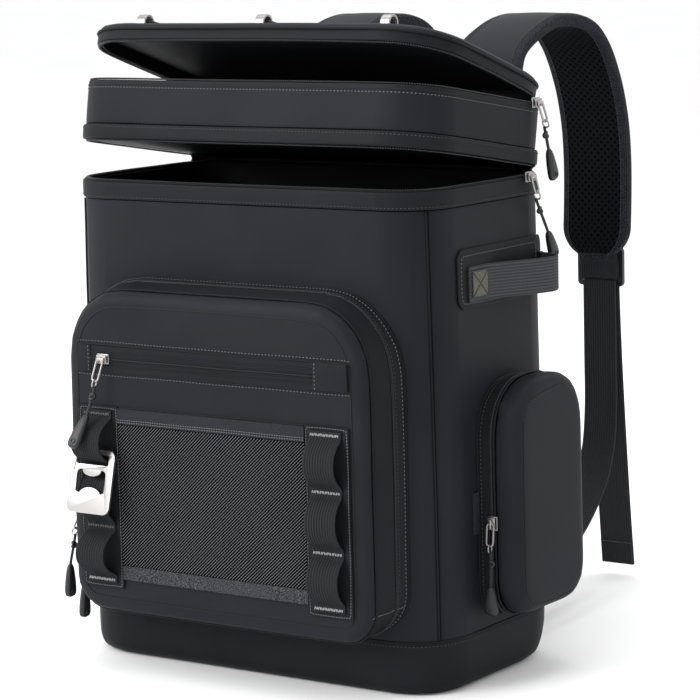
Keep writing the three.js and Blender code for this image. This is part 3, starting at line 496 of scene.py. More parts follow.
def tooth_unit(size):
    bpy.ops.mesh.primitive_cube_add(size=1)
    piece = bpy.context.active_object
    with editing(piece):
        bpy.ops.transform.resize(value=size)
    apply(piece, "BEVEL", width=min(size) * 0.28, segments=1)
    return take(piece)


def skin_of(*pieces):
    points, faces = [], []
    for piece in pieces:
        base = len(points)
        points += [v.co[:] for v in piece.data.vertices]
        faces += [[base + i for i in face.vertices] for face in piece.data.polygons]
    return BVHTree.FromPolygons(points, faces)


def seated(path, skin, lift=0.0):
    hits = [skin.find_nearest(Vector(p)) for p in path]
    normals = np.array([hit[1][:] for hit in hits])
    return np.array([hit[0][:] for hit in hits]) + normals * lift, normals


def row(path, skin, pitch=None, closed=False, lift=None, settled=True):
    """Places along a path on a surface: X runs along, Z stands out."""
    at = smooth_path(path, pitch or sizes().stitch_pitch, closed)
    at, out = seated(settle(at) if settled else at, skin, sizes().thread * 0.35 if lift is None else lift)
    along = tangents(at, closed)
    aside = unit(np.cross(out, along))
    return at, np.stack([along, aside, np.cross(along, aside)], axis=1)


def flat_row(start, end, pitch, out):
    """Places along a straight line over a flat face, for stitches that ride over ribs."""
    start, end, out = np.array(start, float), np.array(end, float), np.array(out, float)
    count = max(int(np.linalg.norm(end - start) / pitch), 1)
    along = (end - start) / np.linalg.norm(end - start)
    at = settle(line(start, end, 2 * count + 1)[1::2])
    return at, np.tile(np.array([along, np.cross(out, along), out]), (count, 1, 1))


def line(start, end, count=2):
    return np.linspace(start, end, count)


def rectangle(u0, u1, v0, v1, radius, place, steps=4):
    """A rounded rectangle as a closed path, placed by a function of u and v."""
    corners = [(u1 - radius, v0 + radius, -90), (u1 - radius, v1 - radius, 0),
               (u0 + radius, v1 - radius, 90), (u0 + radius, v0 + radius, 180)]
    path = []
    for u, v, start in corners:
        for i in range(steps + 1):
            angle = radians(start + 90 * i / steps)
            path.append(place(u + radius * cos(angle), v + radius * sin(angle)))
    return np.array(path)


# Finishes


class Finish:
    """A material in the making: its nodes, its shader and the places that its patterns read."""

    def __init__(self, name, colour, roughness, metallic=0.0, specular=0.3, sheen=0.0, place="Object"):
        self.material = bpy.data.materials.new(name)
        self.material.use_nodes = True
        self.material.diffuse_color = (*colour, 1)
        self.tree = self.material.node_tree
        self.shader = self.tree.nodes["Principled BSDF"]
        self.colour = colour
        values = {"Base Color": (*colour, 1), "Roughness": roughness, "Metallic": metallic,
                  "Specular IOR Level": specular, "Sheen Weight": sheen, "Sheen Roughness": 0.45}
        for key, value in values.items():
            self.shader.inputs[key].default_value = value
        self.place = self.node("ShaderNodeTexCoord").outputs[place]

    def node(self, kind, inputs=None, **settings):
        node = self.tree.nodes.new(kind)
        for key, value in settings.items():
            setattr(node, key, value)
        for key, value in (inputs or {}).items():
            if isinstance(value, bpy.types.NodeSocket):
                self.tree.links.new(value, node.inputs[key])
            else:
                node.inputs[key].default_value = value
        return node

    def turned(self, turn=(0, 0, 0), scale=(1, 1, 1)):
        inputs = {"Vector": self.place, "Rotation": turn, "Scale": scale}
        self.place = self.node("ShaderNodeMapping", inputs).outputs[0]
        return self

    def noise(self, size, detail=2.0):
        inputs = {"Vector": self.place, "Scale": 1 / size, "Detail": detail}
        return self.node("ShaderNodeTexNoise", inputs).outputs[0]

    def bands(self, size, direction="Y", wobble=0.0):
        inputs = {"Vector": self.place, "Scale": pi / (10 * size), "Distortion": wobble}
        return self.node("ShaderNodeTexWave", inputs, bands_direction=direction).outputs["Fac"]

    def cells(self, size, feature="DISTANCE_TO_EDGE", randomness=0.0, flat=False):
        inputs = {"Vector": self.place, "Scale": 1 / size, "Randomness": randomness}
        settings = {"feature": feature, "voronoi_dimensions": "2D" if flat else "3D"}
        return self.node("ShaderNodeTexVoronoi", inputs, **settings).outputs["Distance"]

    def within(self, value, low, high, least=0.0, most=1.0):
        return self.node("ShaderNodeMapRange", {0: value, 1: low, 2: high, 3: least, 4: most}).outputs[0]

    def times(self, first, second, operation="MULTIPLY"):
        return self.node("ShaderNodeMath", {0: first, 1: second}, operation=operation).outputs[0]

    def shade(self, share, low, high):
        """Colours the surface between two shades of its colour, or two colours, by a share."""
        ends = [c if isinstance(c, tuple) else tuple(v * c for v in self.colour) for c in (low, high)]
        mixed = self.node("ShaderNodeMix", {0: share, 6: (*ends[0], 1), 7: (*ends[1], 1)}, data_type="RGBA")
        self.tree.links.new(mixed.outputs[2], self.shader.inputs["Base Color"])
        return self

    def rough(self, share, low, high):
        self.tree.links.new(self.within(share, 0, 1, low, high), self.shader.inputs["Roughness"])
        return self

    def raised(self, height, depth, strength=1.0):
        """Adds relief of a depth in metres."""
        before = self.shader.inputs["Normal"]
        inputs = {"Height": height, "Distance": depth, "Strength": strength}
        if before.is_linked:
            inputs["Normal"] = before.links[0].from_socket
        self.tree.links.new(self.node("ShaderNodeBump", inputs).outputs[0], before)
        return self


def coated_fabric(name, colour, grain=0.05):
    """Matte coated cloth: a fine leathery grain, faint cloudy shading and slightly uneven gloss."""
    finish = Finish(name, colour, 0.55, specular=0.07)
    cloud = finish.noise(90 * MM, 3)
    fleck = finish.within(finish.noise(0.8 * MM), 0.3, 0.7, 0.75)
    finish.shade(finish.times(finish.within(cloud, 0.35, 0.65), fleck), 0.84, 1.14)
    finish.rough(cloud, 0.44, 0.6)
    finish.raised(finish.cells(0.9 * MM, "F1", 1.0), grain * MM, 0.5)
    finish.raised(finish.noise(0.35 * MM, 2), 0.5 * grain * MM, 0.5)
    return finish.material


def woven(name, colour, weft=1.25 * MM):
    """Ribbed webbing: the ribs are modelled, and the weft crosses them here. The colour follows the ribs,
    picks and twill, lighter and darker: painted shade and highlight of the weave's relief.
    """
    finish = Finish(name, colour, 0.75, specular=0.08, place="UV")
    picks = finish.bands(weft, "Y", 0.6)
    twill = finish.bands(0.9 * MM, "DIAGONAL", 0.4)
    ribs = finish.bands(2.5 * MM, "X")
    weave_relief_shade = finish.times(finish.times(picks, twill, "ADD"), finish.times(ribs, 1.6), "ADD")
    # painted shade and highlight: the colour runs from 0.45 to 1.6 of the webbing's own over the weave's
    # relief
    finish.shade(finish.within(weave_relief_shade, 0.3, 3.2), 0.45, 1.6)
    finish.raised(picks, 0.14 * MM, 0.8).raised(twill, 0.06 * MM, 0.6)
    return finish.material


def spacer_mesh(name, colour, place="Object", hole=3.2 * MM):
    """Air mesh: round holes between soft threads, the holes painted dark as the shade inside them."""
    finish = Finish(name, colour, 0.85, specular=0.04, place=place)
    finish.turned((0, 0, pi / 4) if place == "UV" else (0, pi / 4, 0), (1, 1, 0.82))
    edge = finish.cells(hole, flat=place == "UV")
    holes_and_shade = finish.within(edge, 0.1, 0.34)
    # painted shade: the holes are coloured at 0.18 of the mesh's colour, with lighter threads between
    finish.shade(holes_and_shade, 1.5, 0.18)
    finish.raised(finish.times(1.0, holes_and_shade, "SUBTRACT"), 0.5 * MM, 0.9)
    finish.raised(finish.noise(0.5 * MM), 0.06 * MM, 0.6)
    return finish.material


def melange(name, dark, light, size=0.75 * MM):
    """Tape of mixed light and dark yarn."""
    finish = Finish(name, dark, 0.8, specular=0.06)
    fleck = finish.noise(size, 1)
    finish.shade(finish.within(fleck, 0.45, 0.6), dark, light)
    finish.raised(fleck, 0.2 * MM, 0.8)
    return finish.material


def braided(name, colour):
    finish = Finish(name, colour, 0.6, specular=0.3, sheen=0.1, place="UV").turned((0, 0, pi / 4))
    lay = finish.times(finish.bands(1.0 * MM, "X"), finish.bands(1.0 * MM, "Y"), "MAXIMUM")
    finish.shade(lay, 0.55, 1.5).raised(lay, 0.2 * MM, 0.9)
    return finish.material


def yarn(name, colour):
    finish = Finish(name, colour, 0.65, specular=0.12)
    lay = finish.noise(0.6 * MM, 1)
    finish.shade(lay, 0.7, 1.25).raised(lay, 0.06 * MM, 0.6)
    return finish.material


def moulded_plastic(name, colour, roughness=0.42):
    finish = Finish(name, colour, roughness, specular=0.4)
    grain = finish.noise(0.45 * MM, 3)
    finish.shade(grain, 0.85, 1.15).rough(grain, roughness - 0.06, roughness + 0.08)
    finish.raised(grain, 0.04 * MM, 0.6)
    return finish.material


def satin_steel(name, colour, roughness=0.3):
    finish = Finish(name, colour, roughness, metallic=1.0)
    finish.turned(scale=(1, 1, 14))
    brush = finish.noise(2.5 * MM, 4)
    finish.shade(brush, 0.9, 1.04).rough(brush, roughness - 0.07, roughness + 0.12)
    finish.raised(brush, 0.015 * MM, 0.4)
    return finish.material


def toned(colour, share):
    return tuple(value * share for value in colour)


MADE = {}


def finishes():
    """Each finish, made once."""
    if not MADE:
        c = colours()
        shell, trim, dark = tuple(c.shell), tuple(c.trim), tuple(c.lining)
        MADE.update({
            "shell": coated_fabric("Coated shell", shell),
            "trim": coated_fabric("Coated trim", trim),
            "boot": coated_fabric("Coated boot", toned(trim, 0.9)),
            "strap": coated_fabric("Coated strap", toned(shell, 1.4)),
            "piping": coated_fabric("Piping", toned(trim, 0.85), 0.02),
            "lining": coated_fabric("Smooth lining", dark, 0.02),
            # painted shadow: near-black lines laid in seams, grooves, creases, folds and zip gaps
            "seam": moulded_plastic("Seam shadow", toned(dark, 0.25), 0.8),
            "webbing": woven("Ribbed webbing", tuple(c.webbing)),
            "column_webbing": woven("Column webbing", toned(c.webbing, 0.68)),
            "heavy_webbing": woven("Heavy webbing", toned(c.webbing, 1.8), 1.8 * MM),
            "thread": yarn("Sewing thread", tuple(c.thread)),
            "dark_thread": yarn("Dark thread", toned(c.thread, 0.4)),
            "tack": yarn("Tack thread", tuple(c.tack)),
            # net threads: their light colour is a painted highlight
            "net": yarn("Net thread highlight", tuple(c.net)),
            # near-black ground under the net threads: the net's own dark colour plus painted shade
            "net_ground_and_shade": spacer_mesh("Net ground and shade", toned(dark, 0.35), hole=1.2 * MM),
            "air": spacer_mesh("Air mesh", toned(dark, 1.3)),
            "strap_air": spacer_mesh("Strap air mesh", toned(dark, 0.85), "UV", 4.6 * MM),
            "binding": melange("Binding tape", toned(trim, 0.8), srgb(52, 54, 60)),
            "hem": melange("Speckled hem", srgb(32, 33, 35), srgb(76, 77, 80)),
            "band": melange("Smooth hem", srgb(36, 37, 41), srgb(46, 47, 52), 0.5 * MM),
            "cord": braided("Braided cord", tuple(c.moulded)),
            "grip": moulded_plastic("Moulded grip", tuple(c.moulded)),
            "lock": moulded_plastic("Moulded lock", toned(c.moulded, 1.3)),
            "teeth": moulded_plastic("Zip teeth", toned(c.moulded, 1.6), 0.35),
            "tape": coated_fabric("Zip tape", toned(trim, 0.95), 0.02),
            "gunmetal": satin_steel("Dark steel", toned(c.steel, 0.36), 0.3),
            "tack_fill": yarn("Handle stitching", srgb(112, 112, 102)),
            "steel": satin_steel("Satin steel", toned(c.steel, 0.5), 0.32),
            "chrome": satin_steel("Bright steel", toned(c.steel, 0.56), 0.36),
        })
    return MADE


def shifted(path, direction, by):
    return path + np.array(direction) * by


def stitches(name, rows, finish="thread", copied=None, slot="trim_fabric"):
    piece = spread_out(name, copied or stitch_unit(), rows)
    return complete(piece, finishes()[finish], slot, settled=False)


def piping(name, path, skin=None, radius=None, closed=True, finish="piping", lift=0.35, slot="trim_fabric",
           step=4 * MM):
    """A round cord laid along a path, seated on a surface where one is given."""
    radius = radius or sizes().piping
    at, out = settle(smooth_path(path, step, closed)), (0.01, 0.02, 1)
    if skin:
        at, out = seated(at, skin, radius * lift)
    piece = swept(name, sweep(at, out, round_profile(radius), closed))
    return complete(piece, finishes()[finish], slot, settled=False)


# Camera, light and floor


def make_stage():
    view = bpy.context.scene.backpack_view
    a, e, r = view.azimuth, view.elevation, view.roll
    back = Vector((sin(a) * cos(e), -cos(a) * cos(e), sin(e)))
    right = Vector((cos(a), sin(a), 0))
    up = back.cross(right)
    across, rise = right * cos(r) + up * sin(r), up * cos(r) - right * sin(r)
    bpy.ops.object.camera_add()
    camera = bpy.context.active_object
    camera.name = "photo_camera"
    place = Matrix((across, rise, back)).transposed().to_4x4()
    place.translation = Vector(view.target) + back * view.distance
    camera.matrix_world = place
    camera.data.lens, camera.data.sensor_width = view.lens, 36
    camera.data.clip_end = 100
    bpy.context.scene.camera = camera

    bpy.ops.mesh.primitive_plane_add(size=80)
    floor = bpy.context.active_object
    floor.name = "studio_floor"
    surface = Finish("Studio floor", (0.94, 0.94, 0.945), 0.85, specular=0.1)
    floor.data.materials.append(surface.shade(surface.noise(0.6), 0.985, 1.01).material)

    world = bpy.data.worlds.new("Studio")
    bpy.context.scene.world = world
    world.use_nodes = True
    world.node_tree.nodes["Background"].inputs["Color"].default_value = (1, 1, 1, 1)
    world.node_tree.nodes["Background"].inputs["Strength"].default_value = 1.06
    bpy.context.scene.view_settings.view_transform = "Standard"

    lamps = [  # place, size, power
        ("key_light", (-1.4, -2.3, 1.6), 1.5, 64),
        ("top_light", (-0.2, 0.2, 2.6), 1.8, 30),
        ("left_light", (-2.6, -0.6, 1.2), 1.4, 10),
        ("back_light", (0.9, 2.6, 1.8), 1.6, 8),
    ]
    for name, at, size, power in lamps:
        bpy.ops.object.light_add(type="AREA", location=at)
        lamp = bpy.context.active_object
        lamp.name = name
        lamp.data.size, lamp.data.energy = size, power
        lamp.rotation_euler = (Vector((0, 0.05, 0.25)) - Vector(at)).to_track_quat("-Z", "Y").to_euler()


# Body


WALL_STEP = 22 * MM          # from one cut across a wall to the next
GUSSET_FROM = 0.064          # depth where the fabric that closes the back corners starts
GUSSET_COUNT, GUSSET_FOLD = 120, 3.2 * MM   # its stations, and how far it folds in
SEAM_STITCH = 3 * MM         # from a seam to its stitches
MAIN_ZIP_INSET, UPPER_ZIP_INSET = 4.6 * MM, 2.6 * MM   # from an opening's edge to its zip teeth
DECK_OPEN, LID_OPEN = 9, 18  # degrees from level
TAPE_PROFILE = np.array([(-2.6, -0.4), (2.6, -0.4), (2.2, 0.4), (-2.2, 0.4)]) * MM
RIDGE_GAP = 2.5 * MM         # between the two ridges down a front corner
PULLS = {  # zip: slider, link's eye, grip's neck and tip, the way the zip runs, the way the slider faces
    "slim": ((-0.100, -0.1386, 0.248), (-0.104, -0.1436, 0.227), (-0.108, -0.1506, 0.204),
             (-0.113, -0.1636, 0.181), ACROSS, FRONT),
    "side": ((0.1865, -0.0343, 0.127), (0.1865, -0.0363, 0.106), (0.1865, -0.0373, 0.078),
             (0.1865, -0.0378, 0.057), UP, FRONT),
    "main": ((0.1728, 0.052, 0.381), (0.1748, 0.056, 0.364), (0.1768, 0.071, 0.336),
             (0.1773, 0.080, 0.316), FRONT, ACROSS),
    "upper": ((0.1708, 0.0669, 0.4369), (0.1728, 0.0739, 0.4179), (0.1748, 0.0769, 0.3989),
              (0.1753, 0.0839, 0.3759), FRONT, ACROSS),
    "pocket_high": ((-0.1487, -0.1029, 0.120), (-0.1517, -0.1169, 0.101), (-0.1532, -0.1229, 0.076),
                    (-0.1532, -0.1239, 0.051), UP, -ACROSS),
    "pocket_low": ((-0.1487, -0.1029, 0.100), (-0.1507, -0.1059, 0.082), (-0.1522, -0.1069, 0.057),
                   (-0.1527, -0.1079, 0.031), UP, -ACROSS),
}


def cuts_along(*directions, step=WALL_STEP):
    return [(direction, step) for direction in directions]


def dress(node, finish, slot, **settings):
    """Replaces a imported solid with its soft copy."""
    piece = soft_copy(node, node + "_soft", **settings)
    return complete(piece, finishes()[finish], slot, node)


def box_unit(size, roll):
    """A small rounded block."""
    bpy.ops.mesh.primitive_cube_add(size=1)
    piece = bpy.context.active_object
    with editing(piece):
        bpy.ops.transform.resize(value=size)
    apply(piece, "BEVEL", width=roll, segments=3)
    return take(piece)


def placed(unit_shape, centre, along, out):
    """A modelled unit set at a point, with X along and Z out, as a part for joined()."""
    points, faces = unit_shape
    along = Vector(along).normalized()
    out = (Vector(out) - along * along.dot(Vector(out))).normalized()
    axes = np.array([along, out.cross(along), out])
    corners = sum(len(face) for face in faces)
    return points @ axes + np.array(centre), faces, np.zeros((corners, 2))


def wire_loop(centre, along, out, length, width, radius):
    """A long wire loop that starts at a point and hangs along a direction."""
    along = Vector(along).normalized()
    out = (Vector(out) - along * along.dot(Vector(out))).normalized()
    aside = out.cross(along)
    path = rectangle(-radius, length + radius, -width / 2, width / 2, width * 0.49,
                     lambda u, v: np.array(Vector(centre) + along * u + aside * v), 6)
    return sweep(path, out, round_profile(radius, 8), True)


def zip_rows(path, skin, lift=0.2 * MM, closed=False, settled=True):
    return row(path, skin, sizes().tooth_pitch, closed, lift, settled)


def zip_teeth(name, rows, wide=2.6 * MM, tall=1.3 * MM):
    unit_shape = tooth_unit((0.62 * sizes().tooth_pitch, wide, tall))
    return complete(spread_out(name, unit_shape, rows), finishes()["teeth"], "zip_tape", settled=False)


def turned_rows(rows, turn):
    """The same places, turned about the way that they stand out, each by its own angle."""
    at, axes = rows
    turn = np.broadcast_to(turn, len(at))[:, None]
    x, y, z = axes[:, 0], axes[:, 1], axes[:, 2]
    ahead, aside = x * np.cos(turn) + y * np.sin(turn), y * np.cos(turn) - x * np.sin(turn)
    return at, np.stack([ahead, aside, z], axis=1)


def front_of(path, share=lambda y: y < 0.08):
    """The stretch of a closed path that lies before the hinge, as an open path."""
    keep = np.array([share(p[1]) for p in path])
    first = next(i for i in range(len(path)) if keep[i] and not keep[i - 1])
    turned, kept = np.roll(path, -first, axis=0), np.roll(keep, -first)
    return turned[: int(np.argmin(kept)) if not kept.all() else len(path)]


# a near-black tube laid where shade falls along seams, grooves, creases and gaps: painted shadow
def shadow_line(name, path, skin, closed=False, radius=0.5 * MM, finish="seam", lift=0.1, slot="trim_fabric"):
    return piping(name, path, skin, radius, closed, finish, lift, slot, 3 * MM)


# Zip pulls


SLIDER_BLOCKS = [  # body, top, bridge and core: sizes and rolled edge in millimetres
    ((11, 8, 1.3), 0.5), ((9.5, 6.4, 1.2), 0.45), ((7.6, 2.4, 1.7), 0.6), ((5, 3, 3), 0.3),
]
CORD_THICK = 2.4 * MM


def make_pull(name, slider, eye, neck, tip, run, out):
    f = finishes()
    start, eye, neck, tip = (Vector(p) for p in (slider, eye, neck, tip))
    hang = (eye - start).normalized()
    body, top, bridge, core = (
        box_unit([size * MM for size in block], roll * MM) for block, roll in SLIDER_BLOCKS)
    face = start + out * 1.3 * MM
    link_long = (eye - face).length - 5.2 * MM
    ring_at = face + hang * (link_long + 0.4 * MM)
    parts = [
        placed(body, start - out * 1.2 * MM, run, out), placed(top, face, run, out),
        placed(core, start, run, out), placed(bridge, start + out * 2.9 * MM, run, out),
        wire_loop(face + out * 1.4 * MM, hang, out, link_long, 5.8 * MM, 0.85 * MM),
        wire_loop(ring_at + out * 0.8 * MM, hang, hang.cross(out), 4.8 * MM, 5.0 * MM, 0.65 * MM),
    ]
    hardware = piece_from(f"slider_{name}_steel", *joined(parts))
    metal = f["gunmetal" if name == "side" else "steel"]
    complete(hardware, metal, "steel", f"slider_{name}", settled=False)

    knot = eye.lerp(neck, 0.34)
    inside = neck.lerp(tip, 0.45)
    path = smooth_path([eye, knot, neck, inside], 1.6 * MM)
    cord = swept(f"cord_{name}", sweep(path, out, round_profile(CORD_THICK / 2, 10)))
    complete(cord, f["cord"], "cord", f"pull_{name}", settled=False)

    grip = make_grip(name, neck, tip, out, knot)


GRIP_FORM = np.array([  # place along the grip from its neck, and its width and thickness there
    (-0.04, 0.34, 0.5), (0.0, 0.44, 0.62), (0.05, 0.52, 0.74), (0.2, 0.66, 0.9), (0.45, 0.84, 1.0),
    (0.7, 0.98, 1.0), (0.85, 1.0, 0.94), (0.94, 0.88, 0.8), (0.985, 0.62, 0.56), (1.0, 0.3, 0.3),
])
GRIP_WIDE, GRIP_THICK, GRIP_CORNER = 5.5 * MM, 2.9 * MM, 0.62   # half width and thickness, and how square


def squared(turns, power):
    """Cosines of some turns, drawn towards a square."""
    return np.sign(np.cos(turns)) * np.abs(np.cos(turns)) ** power


def make_grip(name, neck, tip, out, knot):
    """A tapered paddle with an eyelet near its end, and the knot above it, made of two small loops."""
    grip = tip - neck
    hang = grip.normalized()
    out = (out - hang * hang.dot(out)).normalized()
    shares, wide, thick = GRIP_FORM.T
    turns = np.arange(20) * 2 * pi / 20
    profile = np.column_stack([GRIP_WIDE * squared(turns, GRIP_CORNER),
                               GRIP_THICK * squared(turns - pi / 2, GRIP_CORNER)])
    at = np.linspace(shares[0], shares[-1], 26)
    path = np.array([neck + grip * share for share in at])
    scale = np.stack([np.interp(at, shares, wide), np.interp(at, shares, thick)])
    parts = [sweep(path, out, profile, scale=scale)]
    eyelet = neck + grip * 0.8
    aside = out.cross(hang)
    for turn in (-1, 1):
        seat = eyelet + out * turn * 2.9 * MM
        ring = rectangle(-1.7 * MM, 1.7 * MM, -1.7 * MM, 1.7 * MM, 1.65 * MM,
                         lambda u, v, seat=seat: np.array(seat + hang * u + aside * v), 5)
        parts.append(sweep(ring, out, round_profile(0.5 * MM, 6), True))
    for lean, sign in ((0.1, 1), (0.62, -1)):
        loop = [
            knot + (hang * 2.1 * cos(a) * sign + aside * 2 * sin(a) + out * 0.9 * cos(2 * a + lean)) * MM
            for a in np.linspace(0, 2 * pi, 14, endpoint=False)]
        parts.append(sweep(smooth_path(loop, 1 * MM, True), out, round_profile(1.15 * MM, 8), True))
    piece = piece_from(f"grip_{name}", *joined(parts))
    complete(piece, finishes()["grip"], "moulded", settled=False)
    return piece


def make_pulls():
    for name, pull in PULLS.items():
        make_pull(name, *pull)


# Body, upper case and lid


def ends_of(node):
    """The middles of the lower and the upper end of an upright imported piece."""
    points = points_of(NODES[node])
    z = points[:, 2]
    return [points[np.isclose(z, end, atol=0.1 * MM)].mean(axis=0) for end in (z.min(), z.max())]


def make_body():
    f = finishes()
    walls = cuts_along(ACROSS, DEEP, UP)
    body = dress("main_body", "shell", "shell_fabric", cuts=walls)
    boot = dress("base_boot", "boot", "trim_fabric", cuts=cuts_along(ACROSS, DEEP), roll=1.2 * MM)
    rim = dress("main_rim", "trim", "trim_fabric", cuts=cuts_along(ACROSS, DEEP), roll=1.4 * MM)
    dress("main_liner", "lining", "lining", cuts=walls, levels=1)
    skin = skin_of(body)
    for side, sign in SIDES.items():
        low, high = ends_of(f"piping_front_{side}")
        path = line(shifted(low, UP, 1 * MM), shifted(high, UP, -1 * MM), 14)
        parts = []
        for shift in (-RIDGE_GAP / 2, RIDGE_GAP / 2):
            beside = settle(smooth_path(path + np.array((0.6, 0.8 * sign, 0)) * shift, 4 * MM))
            parts.append(sweep(*seated(beside, skin, 0.5 * MM), round_profile(0.95 * MM, 8)))
        piece = swept(f"corner_piping_{side}", *parts)
        complete(piece, finishes()["piping"], "trim_fabric", f"piping_front_{side}", settled=False)

    seam = edge_loop("base_boot", UP)
    both = skin_of(body, boot)
    piping("boot_seam", seam, both, 0.8 * MM)
    below = shifted(seam, UP, -SEAM_STITCH)
    stitches("boot_stitches", [row(below, skin_of(boot), closed=True)], "dark_thread")
    rim_seam = shifted(edge_loop("main_rim", -UP), UP, 2.2 * MM)
    stitches("rim_stitches", [row(rim_seam, skin_of(rim), closed=True)], "dark_thread")

    rim_top = edge_loop("main_rim", UP)
    opening = front_of(drawn_in(rim_top, MAIN_ZIP_INSET, UP))
    rim_skin = skin_of(rim)
    at, _ = seated(settle(smooth_path(opening, 4 * MM)), rim_skin, 0.5 * MM)
    tape = swept("main_zip_tape", sweep(at, UP, TAPE_PROFILE))
    complete(tape, f["tape"], "zip_tape", settled=False)
    zip_teeth("main_zip_teeth", [zip_rows(opening, rim_skin, 1.2 * MM)])


def edge_teeth(name, edge, inset, up, piece):
    """The teeth of a zip along the front stretch of an opening's edge."""
    zip_teeth(name, [zip_rows(front_of(drawn_in(edge, inset, up)), skin_of(piece), 0.9 * MM)])


def make_deck():
    ring = cuts_along(ACROSS, DEEP)
    case = dress("upper_case", "shell", "shell_fabric", cuts=ring)
    flange = dress("upper_flange", "trim", "trim_fabric", cuts=ring, roll=1.4 * MM)
    dress("upper_floor", "lining", "lining", cuts=ring)
    for hinge in ("lower_hinge", "upper_hinge"):
        dress(hinge, "trim", "trim_fabric", cuts=cuts_along(ACROSS))
    up = deck_up(DECK_OPEN)
    top = edge_loop("upper_case", up)
    stitches("case_stitches", [row(shifted(top, up, -6 * MM), skin_of(case), closed=True)])
    # a near-black line in the groove below the case's top: painted shadow
    shadow_line("case_groove_shadow", shifted(top, up, -3.6 * MM), skin_of(case), True)
    foot = edge_loop("upper_flange", -up)
    flange_seam = shifted(edge_loop("upper_flange", up), up, -2.4 * MM)
    back_gusset("lower_gusset", edge_loop("main_rim", UP), foot, 1.4 * MM)
    stitches("flange_stitches", [row(flange_seam, skin_of(flange), closed=True)], "dark_thread")
    edge_teeth("main_zip_upper_teeth", foot, MAIN_ZIP_INSET, up, flange)
    edge_teeth("upper_zip_teeth", top, UPPER_ZIP_INSET, up, case)


def back_gusset(name, low, high, inset):
    """Folded fabric that closes the opening round its back corners, between the edges of two rims."""
    behind = [front_of(drawn_in(edge, inset, UP), lambda y: y > GUSSET_FROM) for edge in (low, high)]
    behind = [even(path, 4 * MM) for path in behind]
    low, high = (even(path, span(path)[0][-1] / GUSSET_COUNT) for path in behind)
    if np.linalg.norm(low[0] - high[0]) > np.linalg.norm(low[0] - high[-1]):
        high = high[::-1]
    count = min(len(low), len(high))
    low, high = low[:count], high[:count]
    inward = unit(np.array([0, 0.02, 0]) - low * [1, 1, 0])
    levels = [low + (high - low) * share + inward * GUSSET_FOLD * sin(pi * share)
              for share in np.linspace(0, 1, 7)]
    points = settle(np.vstack(levels))
    faces = [[k * count + i, k * count + i + 1, (k + 1) * count + i + 1, (k + 1) * count + i]
             for k in range(len(levels) - 1) for i in range(count - 1)]
    piece = piece_from(name, points, faces)
    apply(piece, "SOLIDIFY", thickness=1.2 * MM, offset=0)
    return complete(piece, finishes()["trim"], "trim_fabric", settled=False)


def deck_up(turn):
    return Vector((0, sin(radians(turn)), cos(radians(turn))))


def make_lid():
    f = finishes()
    ring = cuts_along(ACROSS, DEEP)
    band = dress("lid_band", "trim", "trim_fabric", cuts=ring, roll=1.2 * MM)
    panel = soft_copy("lid_panel", "lid_panel_soft", cuts=ring, flats=(deck_up(LID_OPEN),), roll=0)
    complete(panel, f["strap"], "shell_fabric", "lid_panel")
    up = deck_up(LID_OPEN)
    foot = edge_loop("lid_band", -up)
    edge_teeth("upper_zip_lid_teeth", foot, UPPER_ZIP_INSET, up, band)
    edge = edge_loop("lid_band", up)
    piping("lid_piping", edge, None, 1.1 * MM)
    piping("lid_inner_seam", edge_loop("lid_band", up, inner=True), None, 1.2 * MM, finish="trim")
    back_gusset("upper_gusset", edge_loop("upper_case", up), foot, 1.2 * MM)
    lid_seam = shifted(drawn_in(edge, 13 * MM, up), up, 8 * MM)
    stitches("lid_stitches", [row(lid_seam, skin_of(panel), closed=True)], "dark_thread")
    for place in ("front_1", "front_2", "front_3", "back_1", "back_2"):
        dress(f"lid_loop_{place}", "steel", "steel", roll=0.5 * MM, levels=1)
    centres, _ = centre_line("bungee_cord", ACROSS, 8)
    lace = swept("elastic_lace", sweep(smooth_path(centres, 2 * MM), up, round_profile(1.75 * MM, 10)))
    complete(lace, f["cord"], "cord", "bungee_cord", settled=False)


# Front pocket


BEFORE, BESIDE = -0.15, 0.21   # depth before the pocket's face, and place beside a side pocket


def face_path(points):
    """Points given across and up, held before the pocket's face."""
    return np.array([(x, BEFORE, z) for x, z in points])


TAB_BESIDE, TAB_HEIGHT = 0.153, 0.070   # the cross seam low on the pocket's sides


